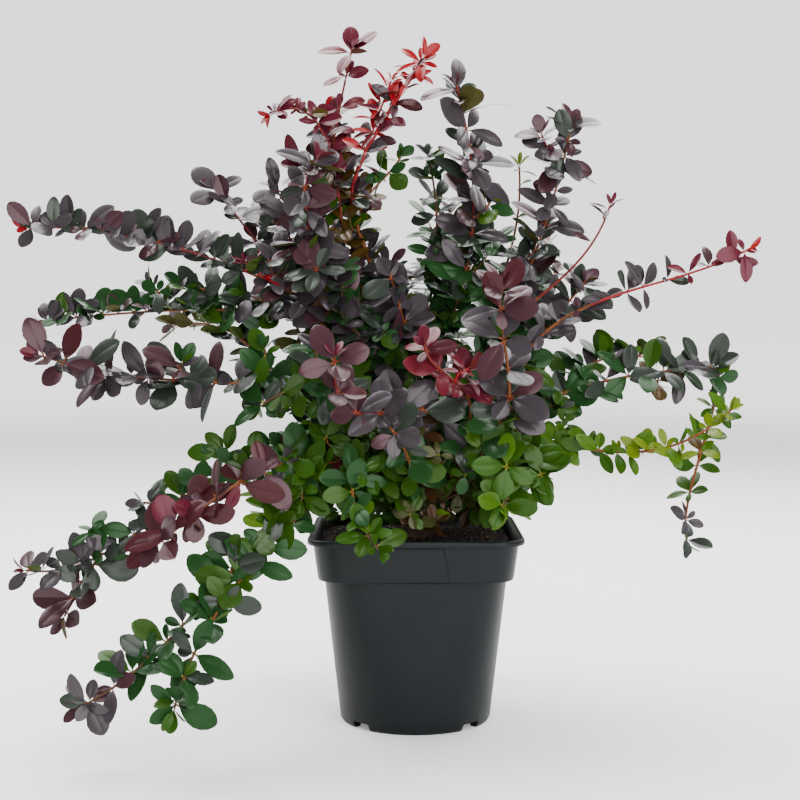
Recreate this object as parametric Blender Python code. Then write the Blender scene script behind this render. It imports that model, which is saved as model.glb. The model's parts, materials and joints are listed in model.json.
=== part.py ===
# A dwarf purple barberry in its square-to-round nursery pot: pot, potting soil, the woody root
# crown, twelve boughs, and the leafy shoots that stand on them.
# Sizes are in millimetres and are turned to metres where a mesh is made. +Z is up, +X is the
# right-hand side of the plant as it faces the viewer, -Y comes towards the viewer, and the
# origin is the middle of the pot's underside.

import math
import random

import bpy
import numpy as np
from mathutils import Vector

MM = 0.001
GAP = 0.3                       # clearance between neighbouring pieces

# Pot
RIM_WIDTH = 156.0               # across the flats of the lip
RIM_CORNER = 22.0
POT_HEIGHT = 144.0
WALL = 1.5
LIP_DEPTH = 4.5
COLLAR_TOP_WIDTH = 148.2
COLLAR_FOOT_WIDTH = 141.4
COLLAR_CORNER = 23.0
COLLAR_FOOT_Z = 113.0
COLLAR_FOOT_BEVEL = 0.9
STEP_RISE = 1.2                 # slope of the step inside, behind the foot of the collar
BODY_TOP_WIDTH = 133.8
BODY_TOP_CORNER = 34.0
BODY_FOOT_RADIUS = 56.4
WALL_RING_Z = 60.0              # a ring half-way up the wall, where its outline changes
EDGE = 2.4                      # rounded edges of lip, collar and foot
EDGE_MIDDLE = 0.3               # the middle of such an edge lies this share of it from both faces
LIP_UNDER_IN = 0.6              # bevel under the lip
LIP_UNDER_UP = 0.8
LIP_TOP_IN = 0.9                # bevel on top of the lip
LIP_TOP_DOWN = 1.2
LIP_LAND = 2.4                  # how far in the flat top of the lip reaches
LIP_CORNER_EASE = 1.4
LIP_INSIDE_DROP = 1.5
FLOOR_TOP_Z = 6.6
PANEL_TOP_WIDTH = 37.0          # sunk panel in the middle of each collar side
PANEL_FOOT_WIDTH = 46.0
PANEL_SINK = 1.3
PANEL_BEVEL = 1.6
PANEL_TOP_MARGIN = 0.7
PANEL_CUT_LOW = 2.0             # the cutter starts this far under the collar
PANEL_CUT_OUT = 4.0             # and stands this far out of it
FOOT_RING_WIDTH = 4.0
CHANNEL_HEIGHT = 5.0            # drainage channel under the floor
CHANNEL_SLOPE = 1.0
PAD_RADIUS = 20.0               # flat pad in the middle of the underside
NOTCH_WIDTH = 17.0
NOTCH_HEIGHT = 5.4
NOTCH_TAPER = 1.2
NOTCH_INNER = 14.0              # the notch starts this far out from the pad
NOTCH_OUTER = 10.0              # its cutter ends this far beyond the foot
NOTCH_BELOW = 5.0
OUTLINE_ANGLES = (0, 14, 27, 35, 40, 45, 50, 55, 63, 76)

# Soil and root crown
SOIL_Z = 133.5
SOIL_CLEAR = 0.8                # the filling has shrunk a little from the wall
SOIL_EDGE_Z = 131.0
SOIL_SHOULDER_HALF = 46.0       # where the filling rises gently from its edge
SOIL_SHOULDER_CORNER = 26.0
SOIL_SHOULDER_RISE = 1.6
SOIL_TOP_RADIUS = 19.0
SOIL_FOOT_EASE = 0.5
SOIL_FOOT_RISE = 1.0
SOIL_EVERY = 2                  # its rings take every second point of the pot's
CROWN_HEART = Vector((0.0, 0.0, 148.0))   # where the crown's arms meet
CROWN_TOP_Z = 157.0
CROWN_FLARE = ((15.0, 0.0), (11.7, 2.5), (9.3, 7.5), (8.6, 14.2), (6.4, 20.7))  # radius and height
CROWN_SIDES = 10
ARM_LENGTH = 25.0
ARM_ROOT_RADIUS = 4.6
ARM_SPREAD = 1.7                # how much wider an arm starts than its bough ends

# Boughs and stems
BOUGH_ROOT_RADIUS = 3.9
BOUGH_TIP_RADIUS = 3.3
BOUGH_SIDES = 6
BOUGH_STEPS = 4
BOUGH_PULL = 0.36               # how far it keeps its first and last direction, by its length
BOUGH_SQUARE = 2.0              # and it is straight for this long at both ends
STEM_ROOT_RADIUS = 1.25
STEM_TIP_RADIUS = 0.7
STEM_STEP = 27.0
FORK_RING = 2.05                # stems stand on this circle on their bough's end
FORK_LEAD = 3.5
TWIG_ROOT_RADIUS = 0.75
TWIG_TIP_RADIUS = 0.55
TWIG_LENGTH = 21.0
TWIG_LENGTHS = (0.8, 1.15)      # the shortest and the longest, as shares of that
TWIG_SAMPLES = (0.35, 0.6, 0.8, 1.0)
CURVE_PARTS = 160
STEM_SAMPLE = 3.0

# Leaves
LEAF_WIDTH = 0.60               # as shares of the leaf's length
LEAF_WIDEST = 0.62
LEAF_TIP_WIDTH = 0.30
LEAF_RIDGE = 0.42
LEAF_THICKNESS = 0.055
LEAF_SCALE = 1.50               # fewer than on the living plant, and larger
LEAF_STEP = 21.8
LEAF_TURN = math.radians(137.5)
LEAF_LEAN = math.radians(58.0)
LEAN_RANGE = (0.85, 1.12)
LENGTH_RANGE = (0.88, 1.06)
LEAF_LIFT = 0.28
LEAF_SUNK = 1.0                 # how deep the last leaf's root lies in a stem's end
END_LEAF_LEAN = 0.12
LAST_LEAF_SEAT = 0.8            # this share of the last leaf lies beyond its stem
SAMPLES_ALONG = (0.28, 0.45, 0.62, 0.8, 1.0)
SAMPLES_ACROSS = (-1.0, -0.5, 0.0, 0.5, 1.0)
BARE_START = 11.0
TWIG_EVERY = 6                  # every so many leaves a side twig stands instead
TWIG_FIRST = 2
TWIG_LEAN = LEAF_LEAN * 0.85
TWIG_LEAF = 0.85                # length of its side leaves, as a share of the stem's own
TWIG_LEAVES = ((0.55, math.pi * 0.5), (0.85, math.pi * 1.5))   # how far along it, and the turn
TRIES = ((0.0, 1.0), (0.9, 1.0), (-0.9, 1.0), (1.8, 0.85), (-1.8, 0.85), (0.5, 0.72), (-2.6, 0.72))

# Space that each shoot keeps to
OWN_SPACE = 1.0
LEAF_APART = 3.0
LIMB_CLEAR = 1.3
POT_CLEAR = 2.5
GROUND_CLEAR = 4.0
FAR = 1e9

# Colours
PLASTIC = (0.030, 0.035, 0.038)
EARTH = (0.018, 0.013, 0.010)
BARK = (0.16, 0.075, 0.035)
LEAF_COLOURS = {
    "purple": (0.070, 0.050, 0.062),
    "red": (0.25, 0.03, 0.05),
    "green": (0.06, 0.13, 0.03),
}

# Boughs: the point where each one forks into its shoots
FORKS = {
    "up_left": (-32, 12, 250),
    "up_middle": (0, 24, 256),
    "up_right": (43, 26, 250),
    "right": (60, -5, 222),
    "low_right": (51, -29, 188),
    "left": (-14, -24, 242),
    "low_left": (-43, -48, 192),
    "front": (27, -62, 208),
    "front_low": (-7, -57, 176),
    "back": (5, 54, 194),
    "back_left": (-50, 41, 190),
    "back_right": (54, 38, 190),
}

# Shoots: bough, name, tip of the last leaf, how the stem leaves the fork, how it arrives at
# its tip, the length of a leaf on it, and the colour of its leaves
SHOOTS = (
    ("up_left", "top_thin", (-44, 10, 518), (-50, 0, 85), (20, 0, 90), 21, "red"),
    ("up_left", "top_left_red", (-119, -5, 446), (-30, -8, 40), (-70, 0, -35), 20, "red"),
    ("up_left", "upper_left", (-62, -30, 430), (-5, -36, 45), (30, 10, 45), 26, "purple"),
    ("up_left", "top_left_olive", (-67, 25, 473), (-5, 12, 75), (-10, 0, 75), 22, "purple"),
    ("up_middle", "top_red", (16, -5, 508), (-50, -25, 150), (80, -5, 120), 23, "red"),
    ("up_middle", "top_right", (20, 0, 491), (50, -10, 70), (-20, 0, 75), 25, "purple"),
    ("up_middle", "upper_middle", (-5, 20, 432), (12, 8, 60), (-15, 0, 60), 20, "green"),
    ("up_middle", "inner_high", (-24, -25, 352), (-5, -25, 30), (-10, 0, 35), 24, "purple"),
    ("up_right", "upper_right", (114, 20, 460), (35, -5, 65), (15, 0, 75), 22, "purple"),
    ("up_right", "upper_right_green", (80, 48, 433), (12, 20, 60), (-5, 0, 65), 18, "green"),
    ("up_right", "right_red", (148, -10, 398), (18, -25, 62), (20, 0, 65), 18, "red"),
    ("right", "right_long", (248, -60, 357), (22, -19, 106), (65, -15, 37), 20, "red"),
    ("right", "right_inner", (141, 25, 344), (10, 18, 50), (30, 0, 40), 24, "purple"),
    ("right", "right_arm", (244, 10, 263), (51, 5, 30), (55, 3, 0), 24, "green"),
    ("low_right", "right_low", (240, -60, 247), (50, -8, 47), (74, -7, 68), 21, "green"),
    ("low_right", "rim_right", (50, -104, 156), (8, -28, 5), (-15, -12, -25), 22, "green"),
    ("low_right", "inner_right", (76, -74, 172), (22, -18, 8), (-5, 0, -30), 22, "green"),
    ("left", "left_high", (-169, 5, 409), (-68, 10, 64), (-41, 7, 49), 23, "purple"),
    ("left", "left_long", (-298, -30, 366), (6, 5, 51), (-109, 3, -5), 21, "purple"),
    ("left", "left_middle", (-300, 20, 297), (-4, 15, 61), (-183, 11, -21), 19, "green"),
    ("left", "left_low", (-287, -60, 281), (-85, -7, 17), (-85, -5, 28), 27, "purple"),
    ("low_left", "low_left_far", (-291, -70, 125), (-106, -4, 47), (-84, -2, 13), 24, "purple"),
    ("low_left", "low_left_red", (-185, -150, 141), (-55, -26, 19), (-54, -23, -43), 29, "red"),
    ("low_left", "low_left_hanging", (-238, -150, 38), (-34, -28, 23), (-76, -20, -33), 22, "green"),
    ("low_left", "low_left_front", (-161, -170, 31), (-57, -40, -35), (-9, -26, -49), 24, "green"),
    ("front", "front_pink", (2, -108, 298), (30, -15, 45), (-5, 0, 25), 27, "red"),
    ("front", "front_left", (-54, -118, 293), (-10, -28, 65), (5, 0, 80), 25, "red"),
    ("front", "front_right", (59, -112, 343), (60, -28, 20), (5, 0, 50), 30, "purple"),
    ("front_low", "over_rim", (-16, -112, 132), (-40, -35, 45), (30, -8, -35), 19, "green"),
    ("front_low", "rim_left", (-80, -84, 158), (-35, -5, 30), (0, 0, -35), 20, "green"),
    ("front_low", "inner_left", (-124, -62, 228), (-30, 10, 55), (-45, 0, -35), 22, "green"),
    ("front_low", "inner_front", (-28, -108, 240), (5, -28, 15), (-15, 0, 20), 22, "green"),
    ("back", "back_high", (30, 118, 405), (5, 20, 60), (0, 20, 70), 24, "purple"),
    ("back", "back_long", (-20, 236, 300), (-5, 60, 60), (-10, 80, -15), 22, "purple"),
    ("back", "back_low", (38, 172, 158), (15, 50, 20), (10, 35, -50), 24, "green"),
    ("back_left", "back_left_high", (-125, 88, 396), (-20, 10, 70), (-10, 10, 65), 24, "purple"),
    ("back_left", "back_left_long", (-216, 142, 292), (-50, 30, 50), (-65, 40, -15), 23, "purple"),
    ("back_left", "back_left_low", (-128, 160, 100), (-35, 50, 10), (-15, 25, -65), 25, "green"),
    ("back_right", "back_right_high", (106, 108, 376), (15, 15, 60), (0, 15, 60), 23, "purple"),
    ("back_right", "back_right_long", (216, 122, 262), (55, 25, 45), (65, 30, -20), 22, "green"),
    ("back_right", "back_right_low", (100, 158, 118), (35, 45, 10), (5, 22, -60), 25, "green"),
)

# The arm on the right bends down at its end, and what hangs from it is a shoot of its own
HANGING = ("right_hanging", (209, 4, 118), (0, 0, -45), (8, 0, -35), 20, "green")


def remove_all_objects():
    for item in list(bpy.data.objects):
        bpy.data.objects.remove(item, do_unlink=True)


def make_material(name, colour, roughness):
    material = bpy.data.materials.new(name)
    material.use_nodes = True
    shader = material.node_tree.nodes["Principled BSDF"]
    shader.inputs["Base Color"].default_value = (*colour, 1.0)
    shader.inputs["Roughness"].default_value = roughness
    shader.inputs["Metallic"].default_value = 0.0
    material.diffuse_color = (*colour, 1.0)
    return material


def make_object(name, points, faces, material=None, collection=None):
    """A mesh object from points in millimetres."""
    mesh = bpy.data.meshes.new(name)
    mesh.from_pydata([Vector(point) * MM for point in points], [], faces)
    mesh.update()
    piece = bpy.data.objects.new(name, mesh)
    if material:
        mesh.materials.append(material)
    (collection or bpy.context.scene.collection).objects.link(piece)
    return piece


def smooth(piece, angle=40.0):
    piece.data.shade_smooth()
    piece.data.set_sharp_from_angle(angle=math.radians(angle))


def unite(piece, collection):
    """Join everything in a collection to a piece with one union, and remove the collection."""
    union = piece.modifiers.new("union", "BOOLEAN")
    union.operation = "UNION"
    union.operand_type = "COLLECTION"
    union.collection = collection
    union.solver = "EXACT"
    graph = bpy.context.evaluated_depsgraph_get()
    joined = bpy.data.meshes.new_from_object(piece.evaluated_get(graph))
    piece.modifiers.clear()
    piece.data = joined
    for part in list(collection.objects):
        bpy.data.objects.remove(part, do_unlink=True)
    bpy.data.collections.remove(collection)


def new_collection(name):
    collection = bpy.data.collections.new(name)
    bpy.context.scene.collection.children.link(collection)
    return collection


# Rings and lofts

def outline(half_width, corner, z, every=1):
    """A level ring of a square with rounded corners; it is a circle when corner is half_width."""
    inset = half_width - corner
    ring = []
    for quarter in range(4):
        for angle in OUTLINE_ANGLES[::every]:
            turn = math.radians(angle)
            c, s = math.cos(turn), math.sin(turn)
            reach = half_width / max(c, s)
            if reach * min(c, s) > inset:
                both = c + s
                reach = inset * both + math.sqrt((inset * both) ** 2 - 2 * inset ** 2 + corner ** 2)
            whole = turn + quarter * math.pi / 2
            ring.append((reach * math.cos(whole), reach * math.sin(whole), z))
    return ring


def split_quad(points, a, b, c, d):
    """Two triangles, parted along the quad's shorter diagonal."""
    if math.dist(points[a], points[c]) <= math.dist(points[b], points[d]):
        return (a, b, c), (a, c, d)
    return (a, b, d), (b, c, d)


def loft(rings, start_pole=None, end_pole=None):
    """Points and faces of a closed body through equal rings, closed by a pole or a flat end."""
    sides = len(rings[0])
    points = [point for ring in rings for point in ring]
    faces = []
    for row in range(len(rings) - 1):
        for side in range(sides):
            after = (side + 1) % sides
            low, high = row * sides, (row + 1) * sides
            faces.extend(split_quad(points, low + side, low + after, high + after, high + side))
    for pole, first, flip in ((start_pole, 0, True), (end_pole, (len(rings) - 1) * sides, False)):
        edge = [first + side for side in range(sides)]
        if flip:
            edge.reverse()
        if pole is None:
            faces.append(tuple(edge))
            continue
        points.append(pole)
        centre = len(points) - 1
        faces.extend((edge[side], edge[(side + 1) % sides], centre) for side in range(sides))
    return points, faces


# Pot

def body_ring(z, inset=0.0, every=1):
    """The pot's wall below the collar: round at the foot, a soft square under the collar."""
    share = z / COLLAR_FOOT_Z
    half = BODY_FOOT_RADIUS + (BODY_TOP_WIDTH / 2 - BODY_FOOT_RADIUS) * share - inset
    corner = BODY_FOOT_RADIUS + (BODY_TOP_CORNER - BODY_FOOT_RADIUS) * share - inset
    return outline(half, corner, z, every)


def collar_half(z):
    share = (z - COLLAR_FOOT_Z) / (POT_HEIGHT - LIP_DEPTH - COLLAR_FOOT_Z)
    return (COLLAR_FOOT_WIDTH + (COLLAR_TOP_WIDTH - COLLAR_FOOT_WIDTH) * share) / 2


def disc(radius, z):
    return outline(radius, radius, z)


def pot_rings():
    """Rings from the middle of the underside, up the outside, over the lip and down the inside."""
    foot = BODY_FOOT_RADIUS
    ring_in = foot - EDGE - FOOT_RING_WIDTH
    rings = [
        disc(PAD_RADIUS, 0.0),
        disc(PAD_RADIUS + CHANNEL_SLOPE, CHANNEL_HEIGHT),
        disc(ring_in - CHANNEL_SLOPE, CHANNEL_HEIGHT),
        disc(ring_in, 0.0),
        disc(foot - EDGE, 0.0),
        disc(foot - EDGE_MIDDLE * EDGE, EDGE_MIDDLE * EDGE),
    ]
    under, lip_z = COLLAR_FOOT_Z, POT_HEIGHT - LIP_DEPTH
    rings += [body_ring(z) for z in (EDGE, WALL_RING_Z, under)]
    rings += [
        outline(collar_half(under) - COLLAR_FOOT_BEVEL, COLLAR_CORNER, under),
        outline(collar_half(under + EDGE), COLLAR_CORNER, under + EDGE),
        outline(collar_half(lip_z), COLLAR_CORNER, lip_z),
    ]
    lip = RIM_WIDTH / 2
    rings += [
        outline(lip - LIP_UNDER_IN, RIM_CORNER, lip_z),
        outline(lip, RIM_CORNER, lip_z + LIP_UNDER_UP),
        outline(lip, RIM_CORNER, POT_HEIGHT - LIP_TOP_DOWN),
        outline(lip - LIP_TOP_IN, RIM_CORNER, POT_HEIGHT),
        outline(lip - LIP_LAND, RIM_CORNER - LIP_CORNER_EASE, POT_HEIGHT),
    ]
    inner_corner = COLLAR_CORNER - WALL
    rings += [
        outline(collar_half(lip_z) - WALL, inner_corner, lip_z - LIP_INSIDE_DROP),
        outline(collar_half(under) - WALL, inner_corner, under + WALL + STEP_RISE),
        body_ring(under + WALL, WALL),
        body_ring(FLOOR_TOP_Z + EDGE, WALL),
        disc(foot - WALL - EDGE, FLOOR_TOP_Z),
    ]
    return rings


def make_cutter(name, points, faces):
    cutter = make_object(name, points, faces)
    cutter.hide_render = True
    cutter.display_type = "WIRE"
    return cutter


def panel_cutter(quarter):
    """Cuts the sunk panel in one side of the collar, with sloping side edges."""
    low_z = COLLAR_FOOT_Z - PANEL_CUT_LOW
    high_z = POT_HEIGHT - LIP_DEPTH - PANEL_TOP_MARGIN
    flare = PANEL_BEVEL * PANEL_CUT_OUT / PANEL_SINK
    points = []
    for z, width in ((low_z, PANEL_FOOT_WIDTH), (high_z, PANEL_TOP_WIDTH)):
        outer = collar_half(z)
        for depth, spread in ((-PANEL_SINK, 0.0), (PANEL_CUT_OUT, flare)):
            for side in (-1, 1):
                points.append(Vector((side * (width / 2 + spread), -(outer + depth), z)))
    turn = quarter * math.pi / 2
    c, s = math.cos(turn), math.sin(turn)
    turned = [(p.x * c - p.y * s, p.x * s + p.y * c, p.z) for p in points]
    faces = ((0, 1, 3, 2), (4, 6, 7, 5), (0, 4, 5, 1), (2, 3, 7, 6), (0, 2, 6, 4), (1, 5, 7, 3))
    return make_cutter("cut_panel", turned, faces)


def notch_cutter(quarter):
    """Cuts one drainage notch through the foot ring, at a corner of the pot."""
    turn = math.pi / 4 + quarter * math.pi / 2
    near, far = PAD_RADIUS + NOTCH_INNER, BODY_FOOT_RADIUS + NOTCH_OUTER
    points = []
    for z, taper in ((-NOTCH_BELOW, 0.0), (NOTCH_HEIGHT, NOTCH_TAPER)):
        for out, side in ((near, -1), (far, -1), (far, 1), (near, 1)):
            across = side * (NOTCH_WIDTH / 2 - taper)
            points.append((out * math.cos(turn) - across * math.sin(turn),
                           out * math.sin(turn) + across * math.cos(turn), z))
    faces = ((3, 2, 1, 0), (4, 5, 6, 7), (0, 1, 5, 4), (1, 2, 6, 5), (2, 3, 7, 6), (3, 0, 4, 7))
    return make_cutter("cut_notch", points, faces)


def make_pot():
    plastic = make_material("pot_plastic", PLASTIC, 0.42)
    points, faces = loft(pot_rings(), (0.0, 0.0, 0.0), (0.0, 0.0, FLOOR_TOP_Z))
    pot = make_object("pot", points, faces, plastic)
    for quarter in range(4):
        for cutter in (panel_cutter(quarter), notch_cutter(quarter)):
            cut = pot.modifiers.new("cut", "BOOLEAN")
            cut.operation = "DIFFERENCE"
            cut.solver = "EXACT"
            cut.object = cutter
    smooth(pot)


# Soil and root crown

def make_soil():
    """The filling, on the floor and clear of the wall, a little mounded round the crown."""
    earth = make_material("soil", EARTH, 0.95)
    inset = WALL + SOIL_CLEAR
    floor = FLOOR_TOP_Z + GAP
    foot = BODY_FOOT_RADIUS - WALL - EDGE - GAP - SOIL_FOOT_EASE
    corner = COLLAR_CORNER - inset
    step = COLLAR_FOOT_Z + WALL
    edge, top, every = SOIL_EDGE_Z, SOIL_TOP_RADIUS, SOIL_EVERY
    rings = [
        outline(foot, foot, floor, every),
        body_ring(FLOOR_TOP_Z + EDGE + SOIL_FOOT_RISE, inset, every),
        body_ring(step + GAP, inset, every),
        outline(collar_half(COLLAR_FOOT_Z) - inset, corner, step + STEP_RISE + 2 * GAP, every),
        outline(collar_half(edge) - inset - GAP, corner, edge, every),
        outline(SOIL_SHOULDER_HALF, SOIL_SHOULDER_CORNER, edge + SOIL_SHOULDER_RISE, every),
        outline(top, top, SOIL_Z, every),
    ]
    points, faces = loft(rings, (0.0, 0.0, floor), (0.0, 0.0, SOIL_Z))
    soil = make_object("potting_soil", points, faces, earth)
    smooth(soil)


def circle(radius, z, sides):
    steps = [2 * math.pi * side / sides for side in range(sides)]
    return [(radius * math.cos(a), radius * math.sin(a), z) for a in steps]


def make_crown(boughs, bark):
    """The woody foot: a flared stub from its flat cut on the soil, with an arm for each bough."""
    foot_z = SOIL_Z + GAP
    rings = [circle(radius, foot_z + rise, CROWN_SIDES) for radius, rise in CROWN_FLARE]
    points, faces = loft(rings, None, (0.0, 0.0, CROWN_TOP_Z))
    crown = make_object("root_crown", points, faces, bark)
    arms = new_collection("arms")
    for bough in boughs.values():
        end = CROWN_HEART + bough["lean"] * ARM_LENGTH
        arm = tapered([CROWN_HEART, end], ARM_ROOT_RADIUS, BOUGH_ROOT_RADIUS, BOUGH_SIDES)
        make_object("arm", *arm, collection=arms)
    unite(crown, arms)
    smooth(crown)


# Paths and limbs

def bezier(start, leave, arrive, end, share):
    rest = 1.0 - share
    one, two = start + leave, end - arrive
    return (start * rest ** 3 + one * 3 * share * rest ** 2
            + two * 3 * share ** 2 * rest + end * share ** 3)


def curve_points(start, leave, arrive, end, step):
    """Evenly spaced points, about a step apart, along a smooth curve."""
    parts = CURVE_PARTS
    fine = [bezier(start, leave, arrive, end, index / parts) for index in range(parts + 1)]
    lengths = [0.0]
    for before, after in zip(fine, fine[1:]):
        lengths.append(lengths[-1] + (after - before).length)
    count = max(3, round(lengths[-1] / step))
    return [fine[min(parts, int(np.searchsorted(lengths, lengths[-1] * index / count)))]
            for index in range(count + 1)]


def directions(path):
    """The path's direction at each point: at its ends the first and last stretch's own."""
    runs = [(after - before).normalized() for before, after in zip(path, path[1:])]
    middle = [(before + after).normalized() for before, after in zip(runs, runs[1:])]
    return [runs[0], *middle, runs[-1]]


def tapered(path, root_radius, tip_radius, sides):
    """Points and faces of a limb along a path, tapering evenly from its root to its tip."""
    across = directions(path)[0].orthogonal().normalized()
    rings = []
    for index, (point, forward) in enumerate(zip(path, directions(path))):
        across = (across - forward * across.dot(forward)).normalized()
        beside = forward.cross(across)
        radius = root_radius + (tip_radius - root_radius) * index / (len(path) - 1)
        ring = []
        for side in range(sides):
            turn = 2 * math.pi * side / sides
            ring.append(point + (across * math.cos(turn) + beside * math.sin(turn)) * radius)
        rings.append(ring)
    return loft(rings)


def plan_boughs():
    """Each bough's path, from its arm on the crown to its fork, and the direction it ends in."""
    boughs = {}
    for name, fork in FORKS.items():
        fork = Vector(fork)
        reach = fork - CROWN_HEART
        lean = Vector((reach.x * ARM_SPREAD, reach.y * ARM_SPREAD, reach.z)).normalized()
        leaves = [Vector(shoot[3]).normalized() for shoot in SHOOTS if shoot[0] == name]
        end_way = (sum(leaves, Vector()) + reach.normalized()).normalized()
        start = CROWN_HEART + lean * (ARM_LENGTH + GAP)
        span = (fork - start).length
        pull = span * BOUGH_PULL
        path = curve_points(start, lean * pull, end_way * pull, fork, span / BOUGH_STEPS)
        path[1:1] = [start + lean * BOUGH_SQUARE]
        path[-1:-1] = [fork - end_way * BOUGH_SQUARE]
        boughs[name] = {"lean": lean, "path": path, "end": fork, "way": end_way}
    return boughs


def make_boughs(boughs, bark):
    for name, bough in boughs.items():
        limb = tapered(bough["path"], BOUGH_ROOT_RADIUS, BOUGH_TIP_RADIUS, BOUGH_SIDES)
        piece = make_object("bough_" + name, *limb, bark)
        smooth(piece)


def fork_starts(bough, leaves):
    """Where each stem stands on its bough's end: round a small circle, in the order they fan out."""
    way = bough["way"]
    across = way.orthogonal().normalized()
    beside = way.cross(across)
    turns = [math.atan2(leave.dot(beside), leave.dot(across)) for leave in leaves]
    order = sorted(range(len(leaves)), key=lambda index: turns[index])
    share = 2 * math.pi / len(leaves)
    drift = [turns[which] - place * share for place, which in enumerate(order)]
    first = math.atan2(sum(math.sin(d) for d in drift), sum(math.cos(d) for d in drift))
    starts = [None] * len(leaves)
    for place, which in enumerate(order):
        turn = first + place * share
        out = across * math.cos(turn) + beside * math.sin(turn)
        starts[which] = bough["end"] + way * GAP + out * FORK_RING
    return starts


def plan_shoots(boughs):
    """Each shoot's stem path, leaf length and colour."""
    shoots = {}
    for name, bough in boughs.items():
        rows = [row for row in SHOOTS if row[0] == name]
        starts = fork_starts(bough, [Vector(row[3]) for row in rows])
        for row, start in zip(rows, starts):
            shoots[row[1]] = plan_stem(start, bough["way"], *row[2:])
    name, *rest = HANGING
    arm = shoots["right_arm"]
    start = arm["path"][-1] + arm["way"] * GAP
    shoots[name] = plan_stem(start, arm["way"], *rest)
    return shoots


def plan_stem(start, way, tip, leave, arrive, leaf, colour):
    """A stem that sets off square to its seat, then follows its curve to its last leaf's root."""
    tip, leave, arrive = Vector(tip), Vector(leave), Vector(arrive)
    lead = start + way * FORK_LEAD
    last = tip - arrive.normalized() * leaf * LEAF_SCALE * LAST_LEAF_SEAT
    path = [start, *curve_points(lead, leave, arrive, last, STEM_STEP)]
    return {"path": path, "leaf": leaf * LEAF_SCALE, "way": directions(path)[-1], "colour": colour}


# Space

def dense(path):
    """Points every few millimetres along a path."""
    samples = []
    for before, after in zip(path, path[1:]):
        count = max(1, int((after - before).length / STEM_SAMPLE))
        samples += [before.lerp(after, index / count) for index in range(count)]
    return np.array([tuple(point) for point in samples + [path[-1]]])


def nearest(points, others):
    """The distance from each point to the nearest of the others."""
    if not len(others):
        return np.full(len(points), FAR)
    gaps = points[:, None, :] - others[None, :, :]
    return np.sqrt((gaps ** 2).sum(axis=2)).min(axis=1)


def clear_of_pot(points):
    """True where points are above the rim, outside the pot, or above the soil inside the rim."""
    out = np.abs(points[:, :2]).max(axis=1)
    above = points[:, 2] > POT_HEIGHT + POT_CLEAR
    outside = out > RIM_WIDTH / 2 + POT_CLEAR
    return bool((above | outside).all()) and bool((points[:, 2] > GROUND_CLEAR).all())


class Space:
    """The room that one shoot may fill: nearer to its own stem than to any other."""

    def __init__(self, name, shoots, limbs):
        self.own = dense(shoots[name]["path"])
        others = [dense(shoot["path"]) for key, shoot in shoots.items() if key != name]
        self.others = np.vstack(others)
        self.limbs = limbs
        self.filled = np.empty((0, 3))

    def has_room(self, points):
        if not clear_of_pot(points):
            return False
        if (nearest(points, self.limbs) < BOUGH_ROOT_RADIUS + LIMB_CLEAR).any():
            return False
        own, other = nearest(points, self.own), nearest(points, self.others)
        if (own + OWN_SPACE > other).any():
            return False
        return not (nearest(points, self.filled) < LEAF_APART).any()

    def fill(self, points):
        self.filled = np.vstack([self.filled, points])


# Leaves and twigs

def leaf_shape(root, way, face, length):
    """A blunt leaf, broadest past its middle: a five-sided rim and a ridge above and below."""
    beside = way.cross(face)
    half, tip = LEAF_WIDTH * length / 2, LEAF_TIP_WIDTH * length / 2
    wide = root + way * LEAF_WIDEST * length
    end = root + way * length
    ridge = root + way * LEAF_RIDGE * length
    lift = face * LEAF_THICKNESS * length / 2
    points = [root, wide + beside * half, end + beside * tip, end - beside * tip,
              wide - beside * half, ridge + lift, ridge - lift]
    faces = []
    for side in range(5):
        after = (side + 1) % 5
        faces.append((side, after, 5))
        faces.append((after, side, 6))
    return points, faces


def leaf_samples(root, way, face, length):
    """Points spread over the leaf beyond its root."""
    beside = way.cross(face)
    halves = np.interp(SAMPLES_ALONG, (0, LEAF_WIDEST, 1), (0, LEAF_WIDTH / 2, LEAF_TIP_WIDTH / 2))
    samples = []
    for along, half in zip(SAMPLES_ALONG, halves):
        for side in SAMPLES_ACROSS:
            samples.append(tuple(root + (way * along + beside * float(half) * side) * length))
    return np.array(samples)


def leaf_way(forward, turn, lean):
    """The direction of a leaf that stands round its stem, lifted a little towards the light."""
    across = forward.orthogonal().normalized()
    beside = forward.cross(across)
    out = across * math.cos(turn) + beside * math.sin(turn)
    out = (out + Vector((0, 0, LEAF_LIFT))).normalized()
    way = (forward * math.cos(lean) + out * math.sin(lean)).normalized()
    face = (forward - way * forward.dot(way)).normalized()
    return way, face


def place_leaf(collection, space, root, forward, turn, lean, length, dice):
    """Put a leaf at a root where there is room for it, turned or shortened if need be."""
    lean = lean * dice.uniform(*LEAN_RANGE)
    length = length * dice.uniform(*LENGTH_RANGE)
    for extra, scale in TRIES:
        way, face = leaf_way(forward, turn + extra, lean)
        samples = leaf_samples(root, way, face, length * scale)
        if space.has_room(samples):
            space.fill(samples)
            make_object("leaf", *leaf_shape(root, way, face, length * scale), collection=collection)
            return


def place_twig(collection, space, root, forward, turn, length, dice):
    """Put a short side twig with three leaves where there is room for it."""
    for extra, scale in TRIES:
        way, _ = leaf_way(forward, turn + extra, TWIG_LEAN)
        reach = TWIG_LENGTH * scale * dice.uniform(*TWIG_LENGTHS)
        end = root + way * reach
        samples = np.array([tuple(root + way * reach * share) for share in TWIG_SAMPLES])
        if not space.has_room(samples):
            continue
        limb = tapered([root, end], TWIG_ROOT_RADIUS, TWIG_TIP_RADIUS, 3)
        make_object("twig", *limb, collection=collection)
        side = dice.uniform(0.0, 2 * math.pi)
        place_leaf(collection, space, end - way * LEAF_SUNK, way, side, END_LEAF_LEAN, length, dice)
        for share, more in TWIG_LEAVES:
            place_leaf(collection, space, root + way * reach * share, way, side + more,
                       LEAF_LEAN, length * TWIG_LEAF, dice)
        space.fill(samples)
        return


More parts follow.
